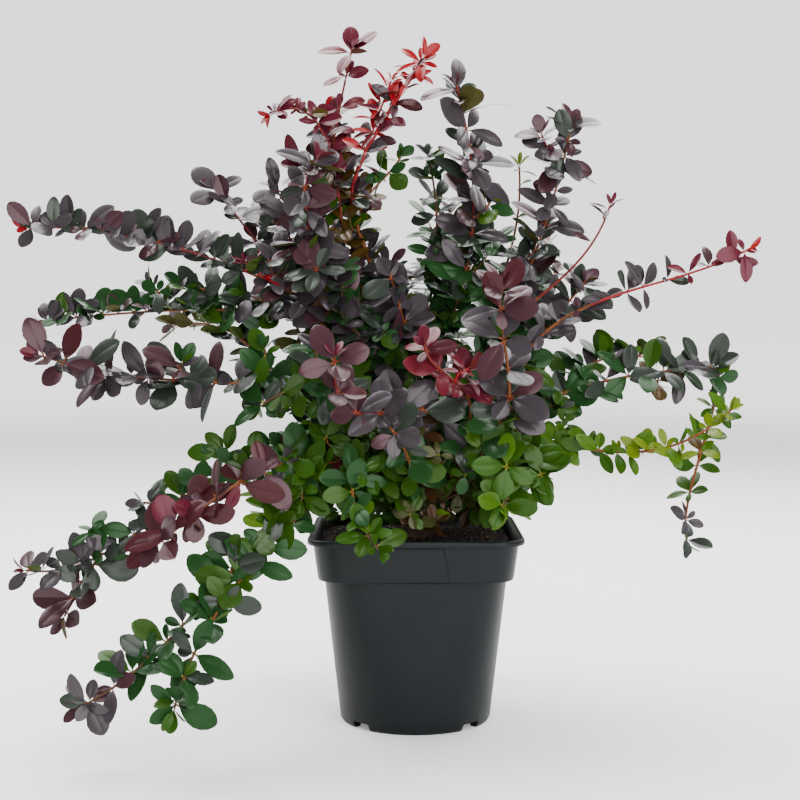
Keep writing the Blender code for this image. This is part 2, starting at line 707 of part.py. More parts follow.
def make_shoot(name, shoot, space, green):
    """One leafy shoot: a three-sided stem with leaves and side twigs, joined to one solid."""
    dice = random.Random(name)
    path, way, leaf = shoot["path"], shoot["way"], shoot["leaf"]
    stem = tapered(path, STEM_ROOT_RADIUS, STEM_TIP_RADIUS, 3)
    piece = make_object("leaves_" + name, *stem, green)
    growth = new_collection("growth")
    place_leaf(growth, space, path[-1] - way * LEAF_SUNK, way, 0.0, END_LEAF_LEAN, leaf, dice)
    turn = dice.uniform(0.0, 2 * math.pi)
    ways = directions(path)
    travelled, due, count = 0.0, BARE_START, 0
    for index, (before, after) in enumerate(zip(path, path[1:])):
        run = (after - before).length
        while due < travelled + run:
            share = (due - travelled) / run
            root = before.lerp(after, share)
            forward = ways[index].lerp(ways[index + 1], share).normalized()
            turn += LEAF_TURN
            count += 1
            if count % TWIG_EVERY == TWIG_FIRST:
                place_twig(growth, space, root, forward, turn, leaf, dice)
            else:
                place_leaf(growth, space, root, forward, turn, LEAF_LEAN, leaf, dice)
            due += LEAF_STEP
        travelled += run
    unite(piece, growth)


def main():
    remove_all_objects()
    bark = make_material("bark", BARK, 0.85)
    make_pot()
    make_soil()
    boughs = plan_boughs()
    make_crown(boughs, bark)
    make_boughs(boughs, bark)
    shoots = plan_shoots(boughs)
    limbs = np.vstack([dense([CROWN_HEART, *bough["path"]]) for bough in boughs.values()])
    for name, shoot in shoots.items():
        green = make_material("leaf_" + name, LEAF_COLOURS[shoot["colour"]], 0.4)
        make_shoot(name, shoot, Space(name, shoots, limbs), green)


main()
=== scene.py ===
# %% [markdown]
# A dwarf purple barberry in its nursery pot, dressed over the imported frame.
# The frame gives the pot, the soil, the woody foot, twelve boughs and forty-two leafy shoots as
# plain solids. This notebook puts bark, fine twigs, thorns and real leaves in their places.
# Sizes are in millimetres and are turned to metres where a mesh is made.

import json
import math
import random

import bmesh

import bpy
import numpy as np
from mathutils import Matrix, Vector, noise

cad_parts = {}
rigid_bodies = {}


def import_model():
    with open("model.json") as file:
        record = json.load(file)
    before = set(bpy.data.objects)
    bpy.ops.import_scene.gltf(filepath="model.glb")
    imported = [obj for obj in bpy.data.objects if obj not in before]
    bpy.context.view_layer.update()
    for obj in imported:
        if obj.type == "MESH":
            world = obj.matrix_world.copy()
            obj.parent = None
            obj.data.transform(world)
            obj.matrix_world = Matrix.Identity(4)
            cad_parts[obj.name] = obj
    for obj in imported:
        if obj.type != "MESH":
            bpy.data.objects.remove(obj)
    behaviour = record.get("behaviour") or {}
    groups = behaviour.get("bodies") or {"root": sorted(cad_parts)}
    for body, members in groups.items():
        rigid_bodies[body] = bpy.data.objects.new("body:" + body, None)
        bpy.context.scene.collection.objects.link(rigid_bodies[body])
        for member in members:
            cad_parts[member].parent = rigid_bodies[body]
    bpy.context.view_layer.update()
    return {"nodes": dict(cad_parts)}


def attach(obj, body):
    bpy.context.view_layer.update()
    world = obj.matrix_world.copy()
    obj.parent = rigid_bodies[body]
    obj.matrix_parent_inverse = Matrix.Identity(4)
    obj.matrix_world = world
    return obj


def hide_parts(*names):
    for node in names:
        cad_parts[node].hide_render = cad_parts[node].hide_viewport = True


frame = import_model()
MM = 0.001
print("nodes in the frame:", len(frame["nodes"]))

# %% [markdown]
# The camera stands where the photograph was taken from: about 1.1 m in front of the pot, a little
# above its rim, looking slightly down. A mild telephoto lens gives the same perspective.

# %% Camera
IMAGE_WIDTH = 800
FOCAL_PIXELS = 1477.0
CAMERA_PLACE = (-11.5, -1108.0, 297.0)
CAMERA_DOWN = math.radians(2.95)
SENSOR = 36.0

camera_data = bpy.data.cameras.new("camera")
camera_data.sensor_width = SENSOR
camera_data.lens = FOCAL_PIXELS * SENSOR / IMAGE_WIDTH
camera = bpy.data.objects.new("camera", camera_data)
camera.location = Vector(CAMERA_PLACE) * MM
camera.rotation_euler = (math.pi / 2 - CAMERA_DOWN, 0.0, 0.0)
bpy.context.scene.collection.objects.link(camera)
bpy.context.scene.camera = camera
print("lens:", round(camera_data.lens, 1), "mm")

# %% [markdown]
# The plant stands on a white ground in a studio tent. The tent is brightest behind and above, and
# two main lamps hang there, which gives the leaves that lie flat their silver sheen. A third, wide
# lamp beside the viewer shows those that face the front in their deep colours, without a glare.

# %% Light and floor
def add_light(name, place, aim, size, power):
    """A square area light that looks from one point to another; sizes in metres."""
    data = bpy.data.lights.new(name, "AREA")
    data.size = size
    data.energy = power
    lamp = bpy.data.objects.new(name, data)
    lamp.location = place
    lamp.rotation_euler = (Vector(aim) - Vector(place)).to_track_quat("-Z", "Y").to_euler()
    bpy.context.scene.collection.objects.link(lamp)


def map_range(nodes, source, links, spans):
    """A smooth step from one range of values to another."""
    fade = nodes.new("ShaderNodeMapRange")
    fade.interpolation_type = "SMOOTHSTEP"
    for socket, value in zip(("From Min", "From Max", "To Min", "To Max"), spans):
        fade.inputs[socket].default_value = value
    links.new(source, fade.inputs["Value"])
    return fade.outputs["Result"]


add_light("key_light", (-0.8, 0.5, 1.8), (0, 0, 0.25), 1.7, 85)
add_light("fill_light", (0.7, -1.7, 1.1), (0, 0, 0.25), 1.8, 64)
add_light("top_light", (0.5, 0.9, 1.6), (0, 0, 0.3), 1.7, 60)

TENT_TOP = (0.0, 0.76, 0.65)
TENT_GLOW = (-0.3, 0.9, 0.45, 0.7)
WHITE_GROUND = 1.9
world = bpy.data.worlds.new("studio")
world.use_nodes = True
nodes, links = world.node_tree.nodes, world.node_tree.links
direction = nodes.new("ShaderNodeTexCoord")
towards_top = nodes.new("ShaderNodeVectorMath")
towards_top.operation = "DOT_PRODUCT"
towards_top.inputs[1].default_value = TENT_TOP
links.new(direction.outputs["Generated"], towards_top.inputs[0])
glow = map_range(nodes, towards_top.outputs["Value"], links, TENT_GLOW)
backdrop = nodes.new("ShaderNodeMix")
backdrop.inputs["B"].default_value = WHITE_GROUND
links.new(nodes.new("ShaderNodeLightPath").outputs["Is Camera Ray"], backdrop.inputs["Factor"])
links.new(glow, backdrop.inputs["A"])
links.new(backdrop.outputs["Result"], nodes["Background"].inputs["Strength"])
nodes["Background"].inputs["Color"].default_value = (1.0, 1.0, 1.0, 1.0)
bpy.context.scene.world = world

FLOOR_SIZE = 60.0
FLOOR_GLOW = (1.3, 5.0, 0.25, 1.5)
floor_mesh = bpy.data.meshes.new("floor")
half = FLOOR_SIZE / 2
floor_mesh.from_pydata([(-half, -half, 0), (half, -half, 0), (half, half, 0), (-half, half, 0)],
                       [], [(0, 1, 2, 3)])
floor = bpy.data.objects.new("floor", floor_mesh)
bpy.context.scene.collection.objects.link(floor)
floor_finish = bpy.data.materials.new("floor_white")
floor_finish.use_nodes = True
nodes, links = floor_finish.node_tree.nodes, floor_finish.node_tree.links
floor_shader = nodes["Principled BSDF"]
floor_shader.inputs["Base Color"].default_value = (0.8, 0.8, 0.8, 1.0)
floor_shader.inputs["Emission Color"].default_value = (1.0, 1.0, 1.0, 1.0)
floor_shader.inputs["Roughness"].default_value = 0.9
away = nodes.new("ShaderNodeVectorMath")
away.operation = "LENGTH"
links.new(nodes.new("ShaderNodeTexCoord").outputs["Object"], away.inputs[0])
far_glow = nodes.new("ShaderNodeMath")
far_glow.operation = "MULTIPLY"
links.new(map_range(nodes, away.outputs["Value"], links, FLOOR_GLOW), far_glow.inputs[0])
links.new(nodes.new("ShaderNodeLightPath").outputs["Is Camera Ray"], far_glow.inputs[1])
links.new(far_glow.outputs["Value"], floor_shader.inputs["Emission Strength"])
floor_mesh.materials.append(floor_finish)
print("lights: 3")

# %% [markdown]
# Every finish starts from one Principled shader. Its plain numbers sit on the shader's own
# sockets; what changes over the surface, such as grain, comes from noise in object space.

# %% A helper for finishes
def new_finish(name, colour, roughness, **plain):
    """A material whose even values are set straight on its shader."""
    finish = bpy.data.materials.new(name)
    finish.use_nodes = True
    shader = finish.node_tree.nodes["Principled BSDF"]
    shader.inputs["Base Color"].default_value = (*colour, 1.0)
    shader.inputs["Roughness"].default_value = roughness
    for socket, value in plain.items():
        shader.inputs[socket.replace("_", " ")].default_value = value
    return finish


def add_noise(finish, scale, detail=4.0, stretch=(1.0, 1.0, 1.0)):
    """Noise read in object space; returns the nodes, the links and the noise node."""
    nodes, links = finish.node_tree.nodes, finish.node_tree.links
    place = nodes.new("ShaderNodeTexCoord")
    turn = nodes.new("ShaderNodeMapping")
    turn.inputs["Scale"].default_value = stretch
    noise = nodes.new("ShaderNodeTexNoise")
    noise.inputs["Scale"].default_value = scale
    noise.inputs["Detail"].default_value = detail
    links.new(place.outputs["Object"], turn.inputs["Vector"])
    links.new(turn.outputs["Vector"], noise.inputs["Vector"])
    return nodes, links, noise


def add_bump(finish, scale, height, detail=4.0, stretch=(1.0, 1.0, 1.0)):
    nodes, links, noise = add_noise(finish, scale, detail, stretch)
    bump = nodes.new("ShaderNodeBump")
    bump.inputs["Strength"].default_value = 0.6
    bump.inputs["Distance"].default_value = height
    links.new(noise.outputs["Fac"], bump.inputs["Height"])
    links.new(bump.outputs["Normal"], nodes["Principled BSDF"].inputs["Normal"])


def tint_by_noise(finish, scale, colours, detail=5.0):
    """Colour that wanders between the given stops."""
    nodes, links, noise = add_noise(finish, scale, detail)
    ramp = nodes.new("ShaderNodeValToRGB")
    ramp.color_ramp.elements[0].position = 0.32
    ramp.color_ramp.elements[1].position = 0.68
    ramp.color_ramp.elements[0].color = (*colours[0], 1.0)
    ramp.color_ramp.elements[1].color = (*colours[-1], 1.0)
    for colour in colours[1:-1]:
        stop = ramp.color_ramp.elements.new(0.5)
        stop.color = (*colour, 1.0)
    links.new(noise.outputs["Fac"], ramp.inputs["Fac"])
    links.new(ramp.outputs["Color"], nodes["Principled BSDF"].inputs["Base Color"])


pot_plastic = new_finish("pot_plastic", (0.007, 0.009, 0.010), 0.4, Specular_IOR_Level=0.16)
tint_by_noise(pot_plastic, 14.0, ((0.0055, 0.0075, 0.0085), (0.008, 0.0105, 0.0115)))
add_bump(pot_plastic, 900.0, 0.00012)
soil_finish = new_finish("soil_crumbs", (0.02, 0.014, 0.01), 0.95)
tint_by_noise(soil_finish, 260.0, ((0.008, 0.006, 0.005), (0.022, 0.015, 0.010), (0.06, 0.04, 0.025)))
add_bump(soil_finish, 420.0, 0.003)
bark_finish = new_finish("bark_brown", (0.05, 0.027, 0.016), 0.75)
tint_by_noise(bark_finish, 160.0, ((0.020, 0.012, 0.008), (0.052, 0.027, 0.016), (0.10, 0.055, 0.03)))
add_bump(bark_finish, 500.0, 0.0006)
print("finishes: pot, soil, bark")

# %% [markdown]
# The living colours: young tips are bright red, the crown's sunny top is slate purple, and leaves
# in the shade below are green. Each is one plain colour, dealt out spray by spray, with an underside
# that is partly truly paler and partly painted light: it is made brighter and greener as a painted
# backlight glow. A thin clear coat gives the leaves' wet-looking gloss.

# %% Leaf and twig finishes
# For each tint, the upper side and the underside; the underside is partly its own paler tone and partly
# painted backlight
LEAF_TINTS = {
    "scarlet": ((0.26, 0.003, 0.008), (0.30, 0.012, 0.010)),
    "rose": ((0.090, 0.006, 0.012), (0.120, 0.020, 0.020)),
    "magenta": ((0.075, 0.006, 0.015), (0.095, 0.018, 0.018)),
    "burgundy": ((0.038, 0.006, 0.009), (0.075, 0.022, 0.014)),
    "plum": ((0.040, 0.015, 0.020), (0.070, 0.040, 0.018)),
    "slate": ((0.036, 0.029, 0.034), (0.055, 0.050, 0.014)),
    "ink": ((0.020, 0.027, 0.020), (0.035, 0.055, 0.009)),
    "bronze": ((0.050, 0.028, 0.004), (0.120, 0.115, 0.008)),
    "deep_green": ((0.011, 0.043, 0.010), (0.034, 0.090, 0.006)),
    "moss": ((0.021, 0.056, 0.004), (0.055, 0.110, 0.005)),
    "green": ((0.020, 0.060, 0.003), (0.070, 0.140, 0.006)),
    "bright_green": ((0.040, 0.098, 0.003), (0.100, 0.200, 0.007)),
    "lime": ((0.105, 0.155, 0.005), (0.160, 0.220, 0.010)),
    "dull": ((0.032, 0.034, 0.010), (0.050, 0.048, 0.014)),
    "dead": ((0.036, 0.016, 0.006), (0.050, 0.026, 0.009)),
}
# The tints that single leaves of a spray turn to
NEIGHBOURS = {
    "scarlet": ("rose", "scarlet"), "rose": ("magenta", "scarlet"), "magenta": ("burgundy", "rose"),
    "burgundy": ("plum", "magenta"), "plum": ("burgundy", "slate"), "slate": ("plum", "ink"),
    "ink": ("slate", "deep_green"), "bronze": ("plum", "moss"), "deep_green": ("ink", "moss"),
    "moss": ("deep_green", "green"), "green": ("moss", "bright_green"),
    "bright_green": ("green", "lime"), "lime": ("bright_green", "bronze"),
    "dull": ("moss", "dead"), "dead": ("dull", "bronze"),
}
GREEN_TINTS = ("deep_green", "moss", "green", "bright_green", "lime", "dull")
TINT_DEPTH = 0.9
VEIN_PAIRS = 7.0
VEIN_SLANT = 0.9


def math_node(nodes, links, operation, first, second=None):
    """A Math node with links or numbers on its first two inputs; returns its value."""
    node = nodes.new("ShaderNodeMath")
    node.operation = operation
    for socket, source in zip(node.inputs, (first, second)):
        if isinstance(source, bpy.types.NodeSocket):
            links.new(source, socket)
        elif source is not None:
            socket.default_value = source
    return node.outputs["Value"]


def add_veins(finish):
    """Side veins that slant off the midrib, as a bump read from the leaf's own UV map."""
    nodes, links, grain = add_noise(finish, 160.0, 2.0)
    spot = nodes.new("ShaderNodeUVMap")
    spot.uv_map = "UVMap"
    split = nodes.new("ShaderNodeSeparateXYZ")
    links.new(spot.outputs["UV"], split.inputs["Vector"])
    across = math_node(nodes, links, "ABSOLUTE", math_node(nodes, links, "SUBTRACT",
                                                           split.outputs["Y"], 0.5))
    slant = math_node(nodes, links, "MULTIPLY", across, VEIN_SLANT)
    phase = math_node(nodes, links, "SUBTRACT", split.outputs["X"], slant)
    wave = math_node(nodes, links, "SINE",
                     math_node(nodes, links, "MULTIPLY", phase, VEIN_PAIRS * math.pi))
    swell = math_node(nodes, links, "POWER", math_node(nodes, links, "ABSOLUTE", wave), 0.45)
    relief = math_node(nodes, links, "ADD", swell,
                       math_node(nodes, links, "MULTIPLY", grain.outputs["Fac"], 1.5))
    bump = nodes.new("ShaderNodeBump")
    bump.inputs["Strength"].default_value = 0.4
    bump.inputs["Distance"].default_value = 0.00004
    links.new(relief, bump.inputs["Height"])
    links.new(bump.outputs["Normal"], nodes["Principled BSDF"].inputs["Normal"])


def make_leaf_finish(name, colour):
    gloss = 0.17 if name in GREEN_TINTS else 0.26
    deep = [value * TINT_DEPTH for value in colour]
    sheen = [(1.0 + value / max(colour)) / 2 for value in colour]
    finish = new_finish("leaf_" + name, deep, 0.3, Specular_IOR_Level=gloss,
                        Specular_Tint=(*sheen, 1.0), Coat_Weight=gloss * 0.5, Coat_Roughness=0.2)
    add_veins(finish)
    return finish


# The underside colours are partly the leaf's own paler tone and partly a painted backlight glow.
def make_under_finish(name, colour):
    finish = new_finish("under_" + name, colour, 0.5, Specular_IOR_Level=0.03)
    add_bump(finish, 500.0, 0.00003, 3.0)
    return finish


leaf_tops = {name: make_leaf_finish(name, top) for name, (top, _) in LEAF_TINTS.items()}
leaf_unders = {name: make_under_finish(name, under) for name, (_, under) in LEAF_TINTS.items()}
stalk_red = new_finish("stalk_red", (0.20, 0.030, 0.010), 0.5, Specular_IOR_Level=0.25)
stalk_olive = new_finish("stalk_olive", (0.15, 0.14, 0.012), 0.5, Specular_IOR_Level=0.25)
stem_finishes = {
    "crimson": new_finish("stem_crimson", (0.25, 0.003, 0.006), 0.45, Specular_IOR_Level=0.3),
    "red": new_finish("stem_red", (0.13, 0.010, 0.005), 0.5, Specular_IOR_Level=0.25),
    "russet": new_finish("stem_russet", (0.15, 0.042, 0.009), 0.55, Specular_IOR_Level=0.25),
    "brown": new_finish("stem_brown", (0.070, 0.028, 0.011), 0.65, Specular_IOR_Level=0.3),
}
for finish in stem_finishes.values():
    add_bump(finish, 600.0, 0.00015, 3.0, (1.0, 1.0, 0.3))
print("leaf tints:", len(LEAF_TINTS))

# %% [markdown]
# The plan of the plant is the frame's own rule, written again: boughs leave the woody foot, and
# each one forks into shoots that follow a smooth curve to a known tip.

# %% The plan of boughs and shoots
GAP = 0.3
CROWN_HEART = Vector((0.0, 0.0, 148.0))
ARM_LENGTH = 25.0
ARM_SPREAD = 1.7
BOUGH_ROOT_RADIUS = 3.9
BOUGH_TIP_RADIUS = 3.3
FORK_RING = 2.05
FORK_LEAD = 3.5
STEP = 3.0

FORKS = {
    "up_left": (-32, 12, 250),
    "up_middle": (0, 24, 256),
    "up_right": (43, 26, 250),
    "right": (60, -5, 222),
    "low_right": (51, -29, 188),
    "left": (-14, -24, 242),
    "low_left": (-43, -48, 192),
    "front": (27, -62, 208),
    "front_low": (-7, -57, 176),
    "back": (5, 54, 194),
    "back_left": (-50, 41, 190),
    "back_right": (54, 38, 190),
}

# Bough, name, tip, how the stem leaves, how it arrives, leaf length, habit, leaf tints from the
# fork to the tip, and the colour of the young stem
SHOOTS = (
    ("up_left", "top_thin", (-44, 10, 518), (-50, 0, 85), (20, 0, 90), 20,
     "airy", "deep_green slate slate magenta magenta magenta", "red"),
    ("up_left", "top_left_red", (-119, -5, 446), (-30, -8, 40), (-70, 0, -35), 17,
     "wand", "deep_green slate bronze bronze bronze magenta scarlet", "red"),
    ("up_left", "upper_left", (-62, -30, 430), (-5, -36, 45), (30, 10, 45), 24,
     "plain", "deep_green ink slate slate slate magenta", "red"),
    ("up_left", "top_left_olive", (-67, 25, 473), (-5, 12, 75), (-10, 0, 75), 22,
     "wand", "moss ink slate bronze bronze scarlet", "russet"),
    ("up_middle", "top_red", (16, -5, 508), (-50, -25, 150), (80, -5, 120), 23,
     "thick", "deep_green slate slate slate plum magenta scarlet scarlet", "crimson"),
    ("up_middle", "top_right", (25, 0, 494), (50, -10, 70), (-20, 0, 75), 27,
     "plain", "moss deep_green ink slate slate slate plum", "red"),
    ("up_middle", "upper_middle", (6, 20, 439), (12, 8, 60), (-15, 0, 60), 19,
     "plain", "moss deep_green ink ink", "brown"),
    ("up_middle", "inner_high", (-24, -25, 352), (-5, -25, 30), (-10, 0, 35), 24,
     "bushy", "deep_green slate slate slate", "russet"),
    ("up_right", "upper_right", (122, 20, 466), (35, -5, 65), (15, 0, 75), 24,
     "plain", "deep_green ink slate slate plum", "russet"),
    ("up_right", "upper_right_green", (80, 48, 433), (12, 20, 60), (-5, 0, 65), 18,
     "bare", "deep_green moss green lime", "russet"),
    ("up_right", "right_red", (148, -10, 398), (18, -25, 62), (20, 0, 65), 18,
     "bare", "slate slate slate plum magenta", "red"),
    ("right", "right_long", (248, -60, 357), (22, -19, 106), (65, -15, 37), 19,
     "sparse", "slate slate slate plum magenta scarlet", "crimson"),
    ("right", "right_inner", (141, 25, 344), (10, 18, 50), (30, 0, 40), 24,
     "bushy", "deep_green deep_green slate slate plum", "russet"),
    ("right", "right_arm", (244, 10, 263), (51, 5, 30), (55, 3, 0), 23,
     "loose", "deep_green deep_green deep_green ink deep_green", "brown"),
    ("low_right", "right_low", (234, -60, 245), (50, -8, 47), (70, -7, 66), 17,
     "small", "moss bright_green lime bright_green lime", "russet"),
    ("low_right", "rim_right", (50, -104, 156), (8, -28, 5), (-15, -12, -25), 22,
     "bushy", "moss green green bright_green", "brown"),
    ("low_right", "inner_right", (76, -74, 172), (22, -18, 8), (-5, 0, -30), 21,
     "bushy", "moss green green green", "brown"),
    ("left", "left_high", (-161, 5, 411), (-68, 10, 64), (-41, 7, 49), 22,
     "open", "ink slate slate slate plum", "red"),
    ("left", "left_long", (-298, -30, 366), (6, 5, 51), (-109, 3, -5), 21,
     "full", "deep_green slate ink slate slate scarlet", "red"),
    ("left", "left_middle", (-300, 20, 297), (-4, 15, 61), (-183, 11, -21), 20,
     "full", "deep_green deep_green deep_green slate plum", "russet"),
    ("left", "left_low", (-287, -60, 281), (-85, -7, 17), (-85, -5, 28), 26,
     "loose", "green green deep_green ink slate slate plum magenta", "brown"),
    ("low_left", "low_left_far", (-291, -70, 125), (-106, -4, 47), (-84, -2, 13), 18,
     "arm", "green deep_green deep_green ink slate magenta", "brown"),
    ("low_left", "low_left_red", (-185, -150, 141), (-55, -26, 19), (-54, -23, -43), 25,
     "open", "deep_green slate burgundy burgundy burgundy plum", "russet"),
    ("low_left", "low_left_hanging", (-238, -150, 38), (-34, -28, 23), (-76, -20, -33), 23,
     "loose", "deep_green moss deep_green deep_green slate plum", "brown"),
    ("low_left", "low_left_front", (-161, -170, 31), (-57, -40, -35), (-9, -26, -49), 24,
     "open", "moss deep_green moss deep_green deep_green green", "brown"),
    ("front", "front_pink", (2, -108, 298), (30, -15, 45), (-5, 0, 25), 21,
     "open", "deep_green plum magenta rose magenta magenta", "red"),
    ("front", "front_left", (-54, -118, 293), (-10, -28, 65), (5, 0, 80), 24,
     "open", "deep_green slate plum plum plum magenta", "red"),
    ("front", "front_right", (59, -112, 343), (60, -28, 20), (5, 0, 50), 27,
     "open", "deep_green deep_green slate slate slate plum burgundy", "brown"),
    ("front_low", "over_rim", (-16, -112, 132), (-40, -35, 45), (30, -8, -35), 19,
     "bushy", "moss green deep_green green green", "brown"),
    ("front_low", "rim_left", (-80, -84, 158), (-35, -5, 30), (0, 0, -35), 20,
     "bushy", "moss green green green", "brown"),
    ("front_low", "inner_left", (-124, -62, 228), (-30, 10, 55), (-45, 0, -35), 22,
     "bushy", "deep_green moss deep_green moss", "brown"),
    ("front_low", "inner_front", (-28, -108, 240), (5, -28, 15), (-15, 0, 20), 22,
     "bushy", "moss deep_green deep_green slate slate", "russet"),
    ("back", "back_high", (30, 118, 405), (5, 20, 60), (0, 20, 70), 24,
     "plain", "deep_green slate slate slate plum", "russet"),
    ("back", "back_long", (-20, 236, 300), (-5, 60, 60), (-10, 80, -15), 22,
     "arm", "deep_green deep_green ink slate magenta", "red"),
    ("back", "back_low", (38, 172, 158), (15, 50, 20), (10, 35, -50), 24,
     "bushy", "moss green green bright_green green", "brown"),
    ("back_left", "back_left_high", (-125, 88, 396), (-20, 10, 70), (-10, 10, 65), 24,
     "plain", "ink slate slate slate plum", "russet"),
    ("back_left", "back_left_long", (-216, 142, 292), (-50, 30, 50), (-65, 40, -15), 23,
     "arm", "deep_green deep_green ink slate plum", "russet"),
    ("back_left", "back_left_low", (-128, 160, 100), (-35, 50, 10), (-15, 25, -65), 25,
     "bushy", "moss deep_green green green", "brown"),
    ("back_right", "back_right_high", (106, 108, 376), (15, 15, 60), (0, 15, 60), 23,
     "plain", "deep_green slate slate plum magenta", "red"),
    ("back_right", "back_right_long", (216, 122, 262), (55, 25, 45), (65, 30, -20), 22,
     "arm", "moss deep_green deep_green ink ink", "russet"),
    ("back_right", "back_right_low", (80, 160, 124), (35, 45, 10), (5, 22, -60), 25,
     "bushy", "moss green green bright_green", "brown"),
)
HANGING = ("right_hanging", (209, 4, 118), (0, 0, -45), (8, 0, -35), 17,
           "airy", "deep_green green green slate ink ink", "russet")
# Short shoots that leave a stem on its way: the stem, how far along it, the tip, leaf length,
# tints and the colour of the wood
SIDE_SHOOTS = (
    ("low_left_far", 0.78, (-260, -71, 73), 25, "ink plum plum", "brown"),
    ("low_left_far", 0.30, (-157, -52, 210), 19, "deep_green green deep_green", "brown"),
    ("low_left_far", 0.55, (-208, -63, 172), 18, "deep_green ink slate", "brown"),
    ("low_left_hanging", 0.46, (-144, -102, 148), 21, "green green green", "brown"),
    ("top_left_red", 0.60, (-98, -13, 423), 22, "magenta magenta magenta", "red"),
    ("left_long", 0.42, (-133, -40, 349), 17, "scarlet rose magenta", "crimson"),
    ("top_red", 0.66, (-14, -1, 488), 15, "scarlet scarlet scarlet", "crimson"),
    ("upper_right", 0.80, (89, 14, 456), 22, "slate plum plum", "red"),
    ("top_right", 0.55, (66, 11, 401), 20, "green deep_green green", "russet"),
    ("left_middle", 0.66, (-212, 15, 339), 21, "slate ink slate", "russet"),
    ("left_middle", 0.50, (-177, 10, 332), 21, "deep_green ink deep_green", "russet"),
    ("left_middle", 0.36, (-142, -3, 326), 21, "deep_green slate green", "russet"),
    ("left_low", 0.80, (-231, -58, 240), 24, "slate slate slate", "brown"),
    ("right_arm", 0.72, (191, 5, 238), 18, "deep_green bronze bronze", "brown"),
    ("front_right", 0.40, (84, -104, 237), 30, "slate slate slate", "brown"),
    ("front_pink", 0.66, (47, -98, 278), 20, "magenta rose rose", "crimson"),
    ("low_left_red", 0.80, (-152, -138, 150), 22, "plum burgundy plum", "russet"),
    ("top_red", 0.48, (-3, 5, 433), 18, "bronze moss deep_green", "russet"),
    ("top_right", 0.36, (60, 17, 374), 22, "deep_green ink slate", "russet"),
    ("upper_right", 0.42, (99, 22, 382), 23, "slate ink slate", "russet"),
    ("upper_right", 0.28, (83, 18, 361), 22, "deep_green slate ink", "russet"),
    ("upper_left", 0.40, (-114, -9, 387), 26, "slate slate plum", "red"),
    ("right_inner", 0.20, (44, 12, 286), 20, "moss deep_green deep_green", "brown"),
    ("inner_high", 0.35, (22, 6, 300), 20, "moss deep_green ink", "brown"),
    ("right_arm", 0.20, (118, -15, 235), 20, "deep_green deep_green ink", "brown"),
    ("upper_left", 0.62, (-113, -12, 412), 23, "slate slate plum", "red"),
    ("left_low", 0.62, (-162, -58, 287), 26, "slate slate deep_green", "brown"),
    ("left_low", 0.36, (-111, -45, 294), 20, "deep_green green deep_green", "brown"),
)


def bezier(start, leave, arrive, end, share):
    rest = 1.0 - share
    one, two = start + leave, end - arrive
    return (start * rest ** 3 + one * 3 * share * rest ** 2
            + two * 3 * share ** 2 * rest + end * share ** 3)


def curve_points(start, leave, arrive, end, step):
    """Evenly spaced points, about a step apart, along a smooth curve."""
    fine = [bezier(start, leave, arrive, end, index / 400) for index in range(401)]
    lengths = [0.0]
    for before, after in zip(fine, fine[1:]):
        lengths.append(lengths[-1] + (after - before).length)
    count = max(3, round(lengths[-1] / step))
    return [fine[min(400, int(np.searchsorted(lengths, lengths[-1] * index / count)))]
            for index in range(count + 1)]


def directions(path):
    runs = [(after - before).normalized() for before, after in zip(path, path[1:])]
    middle = [(before + after).normalized() for before, after in zip(runs, runs[1:])]
    return [runs[0], *middle, runs[-1]]


def plan_boughs():
    """Each bough's path from its arm to its fork, and the direction that it ends in."""
    boughs = {}
    for name, fork in FORKS.items():
        fork = Vector(fork)
        reach = fork - CROWN_HEART
        lean = Vector((reach.x * ARM_SPREAD, reach.y * ARM_SPREAD, reach.z)).normalized()
        leaves = [Vector(shoot[3]).normalized() for shoot in SHOOTS if shoot[0] == name]
        way = (sum(leaves, Vector()) + reach.normalized()).normalized()
        start = CROWN_HEART + lean * (ARM_LENGTH + GAP)
        third = (fork - start).length * 0.36
        path = curve_points(start, lean * third, way * third, fork, STEP)
        boughs[name] = {"lean": lean, "path": path, "end": fork, "way": way}
    return boughs


def fork_starts(bough, leaves):
    """Stems stand round a small circle on their bough's end, in the order they fan out."""
    way = bough["way"]
    across = way.orthogonal().normalized()
    beside = way.cross(across)
    turns = [math.atan2(leave.dot(beside), leave.dot(across)) for leave in leaves]
    order = sorted(range(len(leaves)), key=lambda index: turns[index])
    share = 2 * math.pi / len(leaves)
    drift = [turns[which] - place * share for place, which in enumerate(order)]
    first = math.atan2(sum(math.sin(d) for d in drift), sum(math.cos(d) for d in drift))
    starts = [None] * len(leaves)
    for place, which in enumerate(order):
        turn = first + place * share
        out = across * math.cos(turn) + beside * math.sin(turn)
        starts[which] = bough["end"] - way * 2.0 + out * FORK_RING
    return starts


def plan_stem(start, way, tip, leave, arrive, leaf, habit, tints, bark):
    tip, leave, arrive = Vector(tip), Vector(leave), Vector(arrive)
    lead = start + way * FORK_LEAD
    last = tip - arrive.normalized() * leaf * 0.8
    path = [start, *curve_points(lead, leave, arrive, last, STEP)]
    return {"path": path, "leaf": leaf, "way": directions(path)[-1], "habit": habit,
            "tints": tints.split(), "bark": bark}


def plan_shoots(boughs):
    shoots = {}
    for name, bough in boughs.items():
        rows = [row for row in SHOOTS if row[0] == name]
        starts = fork_starts(bough, [Vector(row[3]) for row in rows])
        for row, start in zip(rows, starts):
            shoots[row[1]] = plan_stem(start, bough["way"], *row[2:])
    name, *rest = HANGING
    arm = shoots["right_arm"]
    shoots[name] = plan_stem(arm["path"][-1], arm["way"], *rest)
    return shoots


def plan_side_shoots(shoots):
    """Side shoots bend from the way that their stem runs towards their own tips."""
    plans = []
    for parent, share, tip, leaf, tints, bark in SIDE_SHOOTS:
        path = shoots[parent]["path"]
        place = round(share * (len(path) - 1))
        start, way = path[place], directions(path)[place]
        third = (Vector(tip) - start) * 0.36
        lean = (third.normalized() + way * 0.5).normalized()
        plans.append((parent, plan_stem(start, lean, tip, lean * third.length, third, leaf, "side",
                                        tints, bark)))
    return plans


